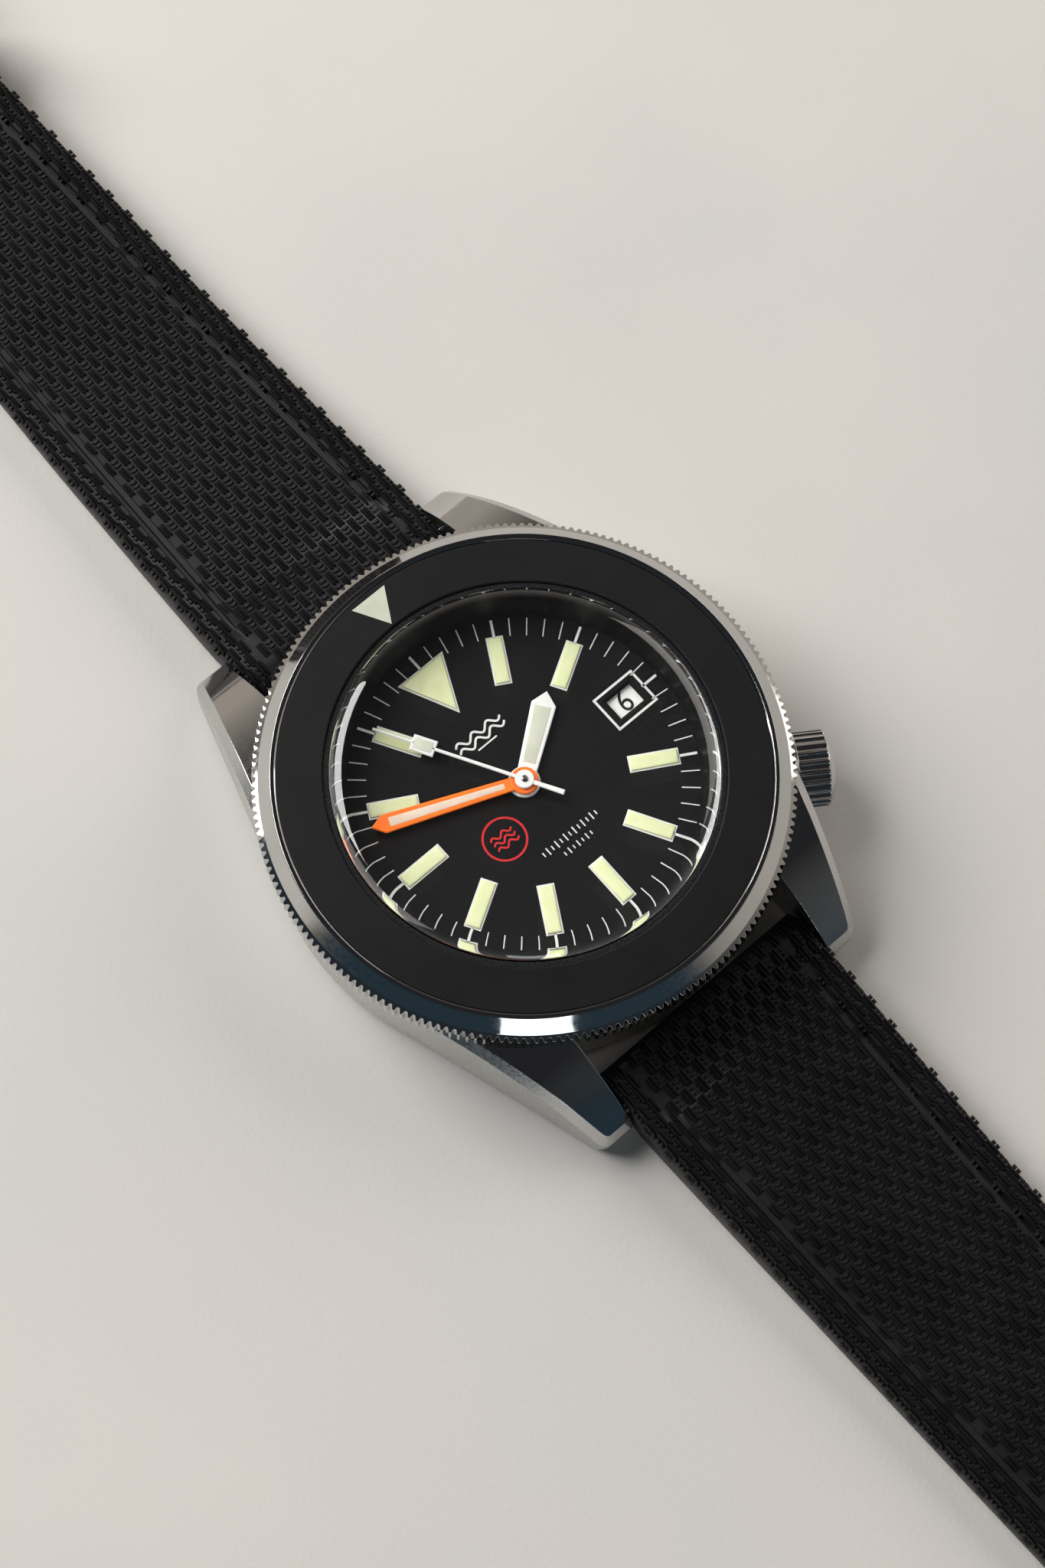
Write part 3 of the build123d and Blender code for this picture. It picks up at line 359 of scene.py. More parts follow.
def loft(rings, around=False):
    """A skin over rings of equal count, capped at both ends unless its last ring meets its first."""
    count = len(rings[0])
    points = [p for ring in rings for p in ring]
    faces = []
    for low in range(len(rings) - (not around)):
        first, second = low * count, (low + 1) % len(rings) * count
        steps = [(i, (i + 1) % count) for i in range(count)]
        faces += [(first + i, first + j, second + j, second + i) for i, j in steps]
    if not around:
        faces += [tuple(range(count))[::-1], tuple(range(len(points) - count, len(points)))]
    return points, faces


def turned(section, steps=160):
    """A body of revolution about Z from its closed (radius, height) section."""
    turns = [2 * pi * step / steps for step in range(steps)]
    return loft([[(r * cos(a), r * sin(a), z) for r, z in section] for a in turns], around=True)


def fit(name, mesh, material, body, slot, *stands_for):
    """Put a finished mesh on the watch as a piece that moves with a body."""
    made = bpy.data.objects.new(name, mesh)
    scene.collection.objects.link(made)
    mesh.materials.clear()
    mesh.materials.append(material)
    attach(made, body)
    if stands_for:
        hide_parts(*stands_for)
    return made


wall_r = crystal_r - crystal_skin
section = [(0.0, crystal_low.z), (crystal_r - bottom_edge, crystal_low.z),
           (wall_r, crystal_low.z + bottom_edge)]
shoulder_low = crystal_high.z - shoulder_drop - shoulder_rise
for step in range(25):
    angle = pi / 2 * step / 24
    section.append((shoulder_r + (wall_r - shoulder_r) * cos(angle),
                    shoulder_low + shoulder_rise * sin(angle)))
dome_r = (shoulder_r**2 + shoulder_drop**2) / (2 * shoulder_drop)
for step in range(1, 31):
    radius = shoulder_r * (1 - step / 30)
    section.append((radius, crystal_high.z - dome_r + sqrt(dome_r**2 - radius**2)))
sapphire = bpy.data.materials.new("sapphire")
sapphire.use_nodes = True
tree = sapphire.node_tree
glass = tree.nodes["Principled BSDF"]
glass.inputs["Transmission Weight"].default_value = 1.0
glass.inputs["IOR"].default_value = 1.7
glass.inputs["Base Color"].default_value = (0.985, 0.99, 0.99, 1)
smears = add(tree, "ShaderNodeTexNoise", {
    "Vector": add(tree, "ShaderNodeTexCoord").outputs["Object"], "Scale": 120.0})
tree.links.new(spread(tree, smears.outputs[0], 0.55, 0.8, 0.0, 0.02), glass.inputs["Roughness"])
clear = add(tree, "ShaderNodeBsdfTransparent", {"Color": (0.94, 0.95, 0.95, 1)}).outputs[0]
for_shadow = add(tree, "ShaderNodeLightPath").outputs["Is Shadow Ray"]
either = add(tree, "ShaderNodeMixShader", {0: for_shadow, 1: glass.outputs[0], 2: clear})
tree.links.new(either.outputs[0], tree.nodes["Material Output"].inputs["Surface"])
crystal_mesh = mesh_of("crystal_glass", *turned(section, 240), sharp=25)
fit("crystal_glass", crystal_mesh, sapphire, "case", "crystal_glass", "crystal")

# The gasket's near-black colour is painted shade for the gap between bezel and crystal.
gasket_shade_dark = new_finish("gasket_nylon", {
    "Colour": screen(32, 33, 35), "Patches": screen(27, 28, 30), "Edge glint and wear": screen(62, 63, 65),
    "Patch scale": 400.0, "Grain scale": 6000.0,
    "Smooth": 0.22, "Rough": 0.34, "Depth": 0.002 * mm, "Edge": 0.05 * mm,
}, Subsurface_Weight=0.08, Subsurface_Radius=(0.3 * mm, 0.3 * mm, 0.3 * mm))[0]
dress(gasket_shade_dark, "crystal_gasket")
ring_black = new_finish("rehaut_black", {
    "Colour": screen(12, 12, 13), "Patches": screen(16, 16, 17), "Edge glint and wear": screen(48, 48, 48),
    "Patch scale": 300.0, "Grain scale": 5000.0,
    "Smooth": 0.3, "Rough": 0.42, "Depth": 0.001 * mm, "Edge": 0.04 * mm,
}, IOR=1.5, Specular_IOR_Level=0.3)[0]
dress(ring_black, "rehaut_ring")

# ---- dial ----------------------------------------------------------------------------------------
# A brass disc sprayed satin black. The minute track, the frame round the date window and the small
# marks are pad printed, and the lume markers are laid on white print. No words are printed on it.
dial_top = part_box("dial")[1].z
ink = 0.015 * mm
dial_black = new_finish("dial_black", {
    "Colour": screen(10, 10, 11), "Patches": screen(14, 14, 15), "Edge glint and wear": screen(50, 50, 50),
    "Patch scale": 160.0, "Grain scale": 14000.0,
    "Smooth": 0.5, "Rough": 0.62, "Depth": 0.0006 * mm, "Edge": 0.04 * mm,
}, IOR=1.5, Specular_IOR_Level=0.12)[0]
dress(dial_black, "dial")


def new_ink(name, colour, patches):
    """Pad printing ink or lacquer: even, slightly raised and half glossy."""
    return new_finish(name, {
        "Colour": colour, "Patches": patches, "Edge glint and wear": colour, "Patch scale": 700.0, "Grain scale": 9000.0,
        "Smooth": 0.3, "Rough": 0.45, "Depth": 0.003 * mm, "Edge": 0.02 * mm,
    })[0]


white_ink = new_ink("white_ink", screen(220, 220, 216), screen(210, 210, 207))
red_ink = new_ink("red_ink", screen(206, 28, 30), screen(188, 22, 26))


# Geometry Nodes: one small shape set round the dial at even steps, pointing outwards.
ring_sizes = {
    "Geometry": ("Geometry", None), "Shape": ("Object", None), "Count": ("Int", 60),
    "Radius": ("Float", 12 * mm), "Height": ("Float", 0.0), "Left out every": ("Int", 0),
    "Left out": ("Int", -1), "Finish": ("Material", None),
}
ring_tree, given, result = new_group("set_round_dial", "GeometryNodeTree", ring_sizes,
                                     {"Geometry": ("Geometry", None)})
number = add(ring_tree, "GeometryNodeInputIndex").outputs[0]
spots = add(ring_tree, "GeometryNodeMeshLine", {"Count": given["Count"]}, mode="OFFSET")
angle = reckon(ring_tree, "MULTIPLY", number, reckon(ring_tree, "DIVIDE", -2 * pi, given["Count"]))
minus_sine = reckon(ring_tree, "MULTIPLY", reckon(ring_tree, "SINE", angle), -1.0)
way = add(ring_tree, "ShaderNodeCombineXYZ", {
    "X": reckon(ring_tree, "MULTIPLY", given["Radius"], minus_sine),
    "Y": reckon(ring_tree, "MULTIPLY", given["Radius"], reckon(ring_tree, "COSINE", angle)),
    "Z": given["Height"],
})
placed = add(ring_tree, "GeometryNodeSetPosition", {"Geometry": spots.outputs[0], "Position": way.outputs[0]})
on_step = reckon(ring_tree, "COMPARE", reckon(ring_tree, "MODULO", number, given["Left out every"]), 0.0, 0.1)
has_step = reckon(ring_tree, "GREATER_THAN", given["Left out every"], 0.5)
stepped = reckon(ring_tree, "MULTIPLY", on_step, has_step)
unwanted = reckon(ring_tree, "MAXIMUM", stepped, reckon(ring_tree, "COMPARE", number, given["Left out"], 0.1))
stored = add(ring_tree, "GeometryNodeStoreNamedAttribute", {
    "Geometry": placed.outputs[0], "Name": "turn", "Value": angle})
kept = add(ring_tree, "GeometryNodeDeleteGeometry", {"Geometry": stored.outputs[0], "Selection": unwanted})
shape = add(ring_tree, "GeometryNodeObjectInfo", {"Object": given["Shape"]}).outputs["Geometry"]
turn = add(ring_tree, "ShaderNodeCombineXYZ", {
    "Z": add(ring_tree, "GeometryNodeInputNamedAttribute", {"Name": "turn"}).outputs[0]})
put = add(ring_tree, "GeometryNodeInstanceOnPoints", {
    "Points": kept.outputs[0], "Instance": shape, "Rotation": turn.outputs[0]})
real = add(ring_tree, "GeometryNodeRealizeInstances", {"Geometry": put.outputs[0]})
painted = add(ring_tree, "GeometryNodeSetMaterial", {"Geometry": real.outputs[0], "Material": given["Finish"]})
ring_tree.links.new(painted.outputs[0], result["Geometry"])


def grown(name, tree, start, sizes):
    """The plain mesh that a Geometry Nodes tree makes from a start mesh, with the given sizes."""
    carrier = bpy.data.objects.new(name, start)
    scene.collection.objects.link(carrier)
    modifier = carrier.modifiers.new("grow", "NODES")
    modifier.node_group = tree
    for socket in tree.interface.items_tree:
        if socket.in_out == "INPUT" and socket.name in sizes:
            modifier[socket.identifier] = sizes[socket.name]
    made = bpy.data.meshes.new_from_object(carrier.evaluated_get(bpy.context.evaluated_depsgraph_get()))
    bpy.data.objects.remove(carrier)
    made.shade_smooth()
    made.set_sharp_from_angle(angle=radians(40))
    return made


def pattern(name, points, faces):
    """A small shape for Geometry Nodes to repeat; it is taken away again with put_away."""
    made = bpy.data.objects.new(name, mesh_of(name, points, faces))
    scene.collection.objects.link(made)
    return made


def put_away(*shapes):
    for shape in shapes:
        bpy.data.objects.remove(shape)


def inset(outline, distance):
    """A convex outline, counter-clockwise, moved inwards by a distance."""
    moved = []
    for i, here in enumerate(outline):
        before = Vector(here) - Vector(outline[i - 1])
        after = Vector(outline[(i + 1) % len(outline)]) - Vector(here)
        normals = [Vector((-edge.y, edge.x)).normalized() for edge in (before, after)]
        both = normals[0] + normals[1]
        moved.append(Vector(here) + both * (2 * distance / both.length_squared))
    return [tuple(point) for point in moved]


def plate(outline, levels):
    """A flat piece from its convex outline in mm and its (inset, height) levels in mm, lowest first."""
    return loft([[(x * mm, y * mm, z * mm) for x, y in inset(outline, by)] for by, z in levels])


def box_outline(width, length, low=0.0):
    return [(-width / 2, low), (width / 2, low), (width / 2, low + length), (-width / 2, low + length)]


tick_inner, tick_length, tick_width, hour_tick_width = 11.66, 1.42, 0.085, 0.2
tick = pattern("tick", *plate(box_outline(tick_width, tick_length), [(0, 0), (0, ink / mm)]))
hour_tick = pattern("hour_tick", *plate(box_outline(hour_tick_width, tick_length), [(0, 0), (0, ink / mm)]))
track = grown("minute_track", ring_tree, bpy.data.meshes.new("minute_track"), {
    "Shape": tick, "Count": 60, "Radius": tick_inner * mm, "Height": dial_top, "Left out every": 5,
    "Finish": white_ink})
fit("minute_track", track, white_ink, "case", "hand_white")
hour_track = grown("hour_track", ring_tree, bpy.data.meshes.new("hour_track"), {
    "Shape": hour_tick, "Count": 12, "Radius": tick_inner * mm, "Height": dial_top, "Finish": white_ink})
fit("hour_track", hour_track, white_ink, "case", "hand_white")
put_away(tick, hour_tick)

# The markers: white print with thick lume paint on it, its edges rounded by surface tension.
bar_width, bar_length, bar_inner, border = 1.06, 3.6, 8.0, 0.13
lume_rise = 0.17
lume_levels = [(0, ink / mm), (0, 0.09), (0.03, 0.13), (0.09, lume_rise - 0.01), (0.22, lume_rise)]
triangle = [(0, 7.55), (1.98, 11.7), (-1.98, 11.7)]
dial_lume = new_lume("marker_lume", screen(216, 220, 176), screen(208, 213, 164), screen(226, 229, 196))


def at_height(shape, height):
    points, faces = shape
    return [(x, y, z + height) for x, y, z in points], faces


bar = pattern("bar", *plate(box_outline(bar_width, bar_length), lume_levels))
print_levels = [(0, 0), (0, ink / mm)]
bar_print = pattern("bar_print", *plate(inset(box_outline(bar_width, bar_length), -border), print_levels))
for name, shape, material, slot, flat, levels, rest in (
        ("marker_lume", bar, dial_lume, "lume", triangle, lume_levels, ("hour_markers",)),
        ("marker_borders", bar_print, white_ink, "hand_white", inset(triangle, -border), print_levels, ())):
    bars = grown(name, ring_tree, bpy.data.meshes.new(name), {
        "Shape": shape, "Count": 12, "Radius": bar_inner * mm, "Height": dial_top, "Left out": 3,
        "Finish": material})
    joined = bmesh.new()
    joined.from_mesh(bars)
    # The bar at 12 makes room for the triangle.
    at_twelve = [v for v in joined.verts if abs(v.co.x) < 1.3 * mm and v.co.y > 0]
    bmesh.ops.delete(joined, geom=at_twelve, context="VERTS")
    joined.from_mesh(mesh_of(name, *at_height(plate(flat, levels), dial_top)))
    joined.to_mesh(bars)
    joined.free()
    bars.set_sharp_from_angle(angle=radians(40))
    fit(name, bars, material, "case", slot, *rest)
put_away(bar, bar_print)


def frame_of(outline, line, low, high):
    """A flat frame: the outline in mm, drawn with a line of the given width."""
    inner = inset(outline, line)
    rings = [[(x * mm, y * mm, z * mm) for x, y in edge]
             for edge, z in ((outline, low), (outline, high), (inner, high), (inner, low))]
    return loft(rings, around=True)


def circle(radius, steps=72, at=(0.0, 0.0)):
    turns = [2 * pi * i / steps for i in range(steps)]
    return [(at[0] + radius * cos(turn), at[1] + radius * sin(turn)) for turn in turns]


def stroke(points, width, low, high):
    """A printed line of even width along points in mm."""
    left, right = [], []
    for i, here in enumerate(points):
        along = Vector(points[min(i + 1, len(points) - 1)]) - Vector(points[max(i - 1, 0)])
        across = Vector((-along.y, along.x)).normalized() * width / 2
        left.append(Vector(here) + across)
        right.append(Vector(here) - across)
    rings = [[(p.x * mm, p.y * mm, z * mm) for p, z in ((a, low), (b, low), (b, high), (a, high))]
             for a, b in zip(left, right)]
    return loft(rings)


def wave(centre, width, height, turns, steps=40):
    shares = [i / steps for i in range(steps + 1)]
    return [(centre[0] + width * (t - 0.5), centre[1] + height * sin(2 * pi * turns * t)) for t in shares]


print_low, print_high = dial_top / mm, (dial_top + ink) / mm
date_x, date_frame_width, date_frame_height, date_line = 10.0, 3.85, 3.1, 0.19
date_outline = [(date_x + x * date_frame_width / 2, y * date_frame_height / 2)
                for x, y in ((-1, -1), (1, -1), (1, 1), (-1, 1))]
marks = [frame_of(date_outline, date_line, print_low, print_high)]
marks += [stroke(wave((0.0, y), 4.2, 0.26, 3), 0.17, print_low, print_high) for y in (5.25, 4.7)]
marks += [stroke([(-0.9, 4.12), (0.9, 4.12)], 0.12, print_low, print_high)]
for y, count, tall in ((-5.1, 13, 0.62), (-6.05, 7, 0.5)):
    for i in range(count):
        x = (i - (count - 1) / 2) * 0.42
        half = tall / 2 * (1.0 if i % 2 else 0.6)
        marks.append(stroke([(x, y - half), (x, y + half)], 0.1, print_low, print_high))
fit("dial_print", mesh_of("dial_print", *merged(*marks)), white_ink, "case", "hand_white")
ring_at, ring_r, ring_line = (-3.9, -2.3), 1.72, 0.16
red_marks = [frame_of(circle(ring_r, at=ring_at), ring_line, print_low, print_high)]
red_marks += [stroke(wave((ring_at[0], ring_at[1] + y), 1.9, 0.17, 2), 0.14, print_low, print_high)
              for y in (0.45, 0.0, -0.45)]
fit("dial_red_mark", mesh_of("dial_red_mark", *merged(*red_marks)), red_ink, "case", "hand_orange")

# ---- date disc -----------------------------------------------------------------------------------
# A thin white ring that turns once in 31 days under the dial, printed with the day numbers in
# black. The number under the window is upright, and the others follow round the ring.
disc_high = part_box("date_disc")[1]
numeral_height, shown_day, days = 2.1, 6, 31
date_white = new_ink("date_white", screen(236, 235, 230), screen(228, 227, 222))
black_ink = new_ink("black_ink", screen(16, 16, 17), screen(22, 22, 23))
dress(date_white, "date_disc")
numerals = bmesh.new()
for day in range(1, days + 1):
    curve = bpy.data.curves.new("numeral", "FONT")
    curve.body, curve.size, curve.extrude = str(day), numeral_height * mm * 1.18, ink / 2
    curve.align_x, curve.align_y, curve.resolution_u = "CENTER", "CENTER", 4
    holder = bpy.data.objects.new("numeral", curve)
    scene.collection.objects.link(holder)
    flat = bpy.data.meshes.new_from_object(holder.evaluated_get(bpy.context.evaluated_depsgraph_get()))
    narrow = 0.9 if day < 10 else 0.62
    turn = Matrix.Rotation(2 * pi * (shown_day - day) / days, 4, "Z")
    under_window = Matrix.Translation((date_x * mm, 0, disc_high.z + ink / 2))
    flat.transform(turn @ under_window @ Matrix.Diagonal((narrow, 1, 1, 1)))
    numerals.from_mesh(flat)
    bpy.data.objects.remove(holder)
numeral_mesh = bpy.data.meshes.new("date_numerals")
bmesh.ops.remove_doubles(numerals, verts=numerals.verts, dist=0.0005 * mm)
numerals.to_mesh(numeral_mesh)
numerals.free()
fit("date_numerals", numeral_mesh, black_ink, "date_disc", "dial_black")

# ---- hands ---------------------------------------------------------------------------------------
# Stamped brass hands with bevelled edges: the hour and second hands are lacquered white, the minute
# hand orange, and each has a window filled with lume. They press onto their tubes at the centre.
hand_white = new_ink("hand_white", screen(226, 226, 223), screen(218, 218, 216))
hand_orange = new_ink("hand_orange", screen(255, 118, 18), screen(248, 108, 14))
hand_lume = new_lume("hand_lume", screen(194, 195, 180), screen(186, 188, 171), screen(206, 207, 194))
warm_lume = new_lume("minute_lume", screen(216, 196, 178), screen(208, 186, 168), screen(228, 210, 194))


def clock_of(node):
    """The direction that a hand points in, as a turn from 12 o'clock, from its farthest points."""
    places = [v.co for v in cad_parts[node].data.vertices]
    far = max(hypot(p.x, p.y) for p in places)
    tip = sum((p for p in places if hypot(p.x, p.y) > 0.98 * far), Vector())
    return atan2(tip.x, tip.y)


def pointed(shape, clock):
    points, faces = shape
    turn = Matrix.Rotation(-clock, 3, "Z")
    return [turn @ Vector(p) for p in points], faces


def hub(radius, hole, low, high, bevel=0.07):
    section = [(hole, low), (radius, low), (radius, high - bevel), (radius - bevel, high),
               (hole + bevel / 2, high), (hole, high - bevel / 2)]
    return turned([(r * mm, z * mm) for r, z in section], 72)


hand_edge = 0.05
window_frame = box_outline(1.27, 1.85, 6.975)
counterweight = [(-0.2, -3.1), (0.2, -3.1), (0.16, -0.4), (-0.16, -0.4)]
# Node, body, lacquer, slot, lume, hub radius, hole radius, outline and lume window, in mm.
hand_sets = [
    ("hour_hand", "hours", hand_white, "hand_white", hand_lume, 1.2, 0.62,
     [(-0.72, 0.9), (0.72, 0.9), (0.94, 6.25), (0, 7.3), (-0.94, 6.25)],
     [(-0.46, 1.5), (0.46, 1.5), (0.62, 6.05), (-0.62, 6.05)]),
    ("minute_hand", "minutes", hand_orange, "hand_orange", warm_lume, 1.05, 0.42,
     [(-0.5, 0.7), (0.5, 0.7), (0.72, 10.9), (0, 11.85), (-0.72, 10.9)],
     [(-0.21, 1.55), (0.21, 1.55), (0.36, 10.45), (-0.36, 10.45)]),
    ("second_hand", "seconds", hand_white, "hand_white", hand_lume, 0.72, 0.1,
     [(-0.14, 0.5), (0.14, 0.5), (0.1, 11.9), (-0.1, 11.9)],
     [(-0.43, 7.2), (0.43, 7.2), (0.43, 8.6), (-0.43, 8.6)]),
]
for node, body, lacquer, slot, lume, hub_r, hole_r, outline, window in hand_sets:
    low, high = (corner.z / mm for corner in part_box(node))
    levels = [(0, low), (0, high - hand_edge), (hand_edge * 1.4, high)]
    shapes = [plate(outline, levels), hub(hub_r, hole_r, low - 0.02, high + 0.03)]
    if node == "second_hand":
        shapes.append(plate(window_frame, levels))
        shapes.append(plate(counterweight, levels))
    clock = clock_of(node)
    fit(node + "_body", mesh_of(node, *pointed(merged(*shapes), clock)), lacquer, body, slot, node)
    filled = plate(window, [(0, high - 0.03), (0, high + 0.012), (0.05, high + 0.03)])
    fit(node + "_lume", mesh_of(node + "_lume", *pointed(filled, clock)), lume, body, "lume")
cap_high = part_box("second_hand")[1].z / mm
cap_section = ((0, 0), (0.26, 0), (0.26, 0.1), (0.17, 0.16), (0, 0.17))
cap = turned([(r * mm, (cap_high + z) * mm) for r, z in cap_section], 48)

# ---- movement ------------------------------------------------------------------------------------
# A self-winding movement in a plastic holder: gilt brass plate, nickel bridges with a striped
# finish, brass wheels, steel winding wheels, ruby bearings, blued screws and a heavy half-moon rotor.
brass = screen(206, 170, 92)
movement_brass = new_metal("plate_brass", brass, screen(196, 160, 86), screen(226, 194, 120), 0.24, 0.4)
wheel_brass = new_metal("wheel_brass", screen(216, 182, 104), brass, screen(234, 206, 140), 0.12, 0.24,
                        stretch=(9000, 60, 900), ringed=1.0)
winding_steel = new_metal("winding_steel", screen(186, 187, 190), screen(176, 178, 182), screen(210, 210, 210),
                          0.1, 0.22, stretch=(6000, 6000, 300))
stripe_step = 1.6 * mm


def new_striped(name, colour, patches, glint_and_wear):
    """Broad even stripes, as a grinding wheel leaves them, on a brushed metal."""
    made = new_metal(name, colour, patches, glint_and_wear, 0.18, 0.32, stretch=(9000, 400, 9000))
    tree = made.node_tree
    shader = tree.nodes["Principled BSDF"]
    here = add(tree, "ShaderNodeTexCoord").outputs["Object"]
    across = add(tree, "ShaderNodeSeparateXYZ", {0: here}).outputs["X"]
    saw = reckon(tree, "FRACT", reckon(tree, "DIVIDE", across, stripe_step))
    shade = blended(tree, reckon(tree, "MULTIPLY", saw, 0.35), colour, patches)
    tree.links.new(shade, shader.inputs["Base Color"])
    groove = add(tree, "ShaderNodeBump", {"Height": saw, "Distance": 0.03 * mm,
                                          "Normal": shader.inputs["Normal"].links[0].from_socket})
    tree.links.new(groove.outputs[0], shader.inputs["Normal"])
    return made


bridge_nickel = new_striped("bridge_nickel", screen(198, 197, 190), screen(150, 150, 146),
                            screen(220, 220, 214))
rotor_steel = new_striped("rotor_steel", screen(190, 188, 184), screen(140, 139, 136), screen(214, 212, 208))
ruby = new_finish("ruby", {
    "Colour": screen(190, 22, 52), "Patches": screen(168, 14, 42), "Edge glint and wear": screen(226, 80, 104),
    "Patch scale": 900.0, "Grain scale": 5000.0,
    "Smooth": 0.04, "Rough": 0.12, "Depth": 0.0005 * mm, "Edge": 0.05 * mm,
}, Coat_Weight=0.6, IOR=1.77)[0]
blued = new_metal("blued_steel", screen(34, 62, 150), screen(26, 48, 122), screen(80, 110, 190), 0.1, 0.2)
holder_plastic = new_finish("holder_plastic", {
    "Colour": screen(224, 222, 214), "Patches": screen(214, 212, 204), "Edge glint and wear": screen(232, 230, 224),
    "Patch scale": 260.0, "Grain scale": 4000.0,
    "Smooth": 0.4, "Rough": 0.55, "Depth": 0.004 * mm, "Edge": 0.08 * mm,
})[0]
dress(movement_brass, "main_plate")
dress(bridge_nickel, "barrel_bridge", "train_bridge", "balance_cock")
dress(wheel_brass, "barrel_drum", "centre_wheel", "hour_wheel", "third_wheel", "fourth_wheel", "balance_wheel")
dress(winding_steel, "cannon_pinion", "minute_wheel", "escape_wheel", "pallet_fork", "ratchet_wheel",
      "crown_wheel", "click", "winding_pinion", "sliding_pinion", "setting_lever", "winding_stem")
dress(ruby, "jewels")
dress(blued, "movement_screws", "hairspring")
dress(rotor_steel, "rotor")
dress(holder_plastic, "movement_holder")

# The dark post in the middle of the second hand turns with it.
post_steel = new_metal("post_steel", screen(120, 120, 124), screen(104, 104, 108), screen(160, 160, 160),
                       0.2, 0.3)
fit("second_hand_post", mesh_of("second_hand_post", *cap), post_steel, "seconds", "wheel_steel")

# ---- crown ---------------------------------------------------------------------------------------
# Turned from steel bar with 24 milled flutes and a polished domed end. It screws to the stem and
# closes over the tube on a rubber seal.
crown_steel = new_metal("crown_steel", steel, steel_patches, steel_glint_and_wear, 0.06, 0.15, edge=0.08)
dress(crown_steel, "crown")

# ---- strap ---------------------------------------------------------------------------------------
# Two lengths of black rubber, moulded with the look of a coarse plain weave: paired ridges that
# pass over short cross ridges. A groove and a smooth strip part the weave from the woven edges.
strap_rubber = new_finish("strap_rubber", {
    "Colour": screen(17, 17, 19), "Patches": screen(21, 21, 23), "Edge glint and wear": screen(30, 30, 32),
    "Patch scale": 260.0, "Grain scale": 7000.0,
    "Smooth": 0.42, "Rough": 0.58, "Depth": 0.006 * mm, "Edge": 0.0,
}, IOR=1.48, Specular_IOR_Level=0.36)[0]
row_pitch, column_pitch = 1.17, 1.42
float_half_width, float_half_length, float_height = 0.155, 0.71, 0.34
weft_half_width, weft_half_length, weft_height = 0.18, 0.40, 0.22
float_apart, weft_apart = 0.15, 0.21
sunk = 0.12
edge_width, groove_width, strip_width = 2.15, 0.25, 0.5
strip_rise = 0.16
weave_depth = 0.3


def ridge(at, half_width, half_length, height, across, along, crosswise=False):
    """One rounded ridge that dips into the rubber at both ends, closed below; sizes in mm."""
    points = []
    for i in range(along + 1):
        t = -cos(pi * i / along)
        rise = sqrt(max(0.0, 1 - t * t)) ** 0.6
        for j in range(across + 1):
            turn = pi * j / across
            x, y = half_width * cos(turn), half_length * t
            z = -sunk + (height + sunk) * sin(turn) * rise
            if crosswise:
                x, y = y, x
            points.append(((at[0] + x) * mm, (at[1] + y) * mm, z * mm))
    wide, last = across + 1, along * (across + 1)
    faces = [(r * wide + c, r * wide + c + 1, (r + 1) * wide + c + 1, (r + 1) * wide + c)
             for r in range(along) for c in range(across)]
    rim = [*range(across), *range(across, last + across, wide),
           *range(last + across, last, -1), *range(last, 0, -wide)]
    return points, faces + [tuple(rim)]


def weave_cell(name, weft_side, weft_at=column_pitch / 2, weft_reach=weft_half_length):
    """One pair of ridges, and on one side of it the two short cross ridges that it passes over."""
    return pattern(name, *merged(
        *[ridge((side * float_apart, 0), float_half_width, float_half_length, float_height, 4, 5)
          for side in (-1, 1)],
        *[ridge((weft_side * weft_at, side * weft_apart), weft_half_width, weft_reach, weft_height, 3, 3,
                crosswise=True) for side in (-1, 1)]))


edge_pitch, edge_weft_at, edge_reach = 0.98, 0.42, 0.18
middle_cell = weave_cell("middle_cell", 1)
left_cell = weave_cell("left_cell", -1, edge_weft_at, edge_reach)
right_cell = weave_cell("right_cell", 1, edge_weft_at, edge_reach)

# Geometry Nodes: rows of one cell laid along a strap's top, every second row shifted by half a
# cell. Side 0 fills the middle, and -1 or 1 follows an edge of the strap at a distance from it.
weave_sizes = {
    "Geometry": ("Geometry", None), "Cell": ("Object", None), "Rows": ("Int", 10), "Columns": ("Int", 10),
    "Row pitch": ("Float", row_pitch * mm), "Column pitch": ("Float", column_pitch * mm),
    "Side": ("Float", 0.0), "Shift": ("Float", 0.0), "Stagger": ("Float", 0.5), "Edge distance": ("Float", 0.0),
    "Keep within edge": ("Float", 0.0), "Finish": ("Material", None),
}
weave_tree, given, result = new_group("lay_weave", "GeometryNodeTree", weave_sizes,
                                      {"Geometry": ("Geometry", None)})
path = add(weave_tree, "GeometryNodeMeshToCurve", {"Mesh": given["Geometry"]}).outputs[0]
span_x = reckon(weave_tree, "SUBTRACT", given["Columns"], 1.0)
span_y = reckon(weave_tree, "SUBTRACT", given["Rows"], 1.0)
lattice = add(weave_tree, "GeometryNodeMeshGrid", {
    "Size X": span_x, "Size Y": span_y, "Vertices X": given["Columns"], "Vertices Y": given["Rows"],
}).outputs["Mesh"]
grid_place = add(weave_tree, "GeometryNodeInputPosition").outputs[0]
spot = add(weave_tree, "ShaderNodeSeparateXYZ", {0: grid_place}).outputs
row = reckon(weave_tree, "ROUND", reckon(weave_tree, "MULTIPLY_ADD", span_y, 0.5, spot["Y"]))
half_width = add(weave_tree, "GeometryNodeInputNamedAttribute", {"Name": "half_width"}).outputs[0]
along_path = reckon(weave_tree, "MULTIPLY", row, given["Row pitch"])
sample = add(weave_tree, "GeometryNodeSampleCurve", {"Curves": path, "Value": half_width, "Length": along_path},
             mode="LENGTH")
half_here = sample.outputs["Value"]
half_step = reckon(weave_tree, "MULTIPLY", reckon(
    weave_tree, "SUBTRACT", reckon(weave_tree, "MODULO", row, 2.0), 0.5), given["Stagger"])
column = reckon(weave_tree, "ADD", spot["X"], half_step)
across = reckon(weave_tree, "MULTIPLY_ADD", column, given["Column pitch"], given["Shift"])
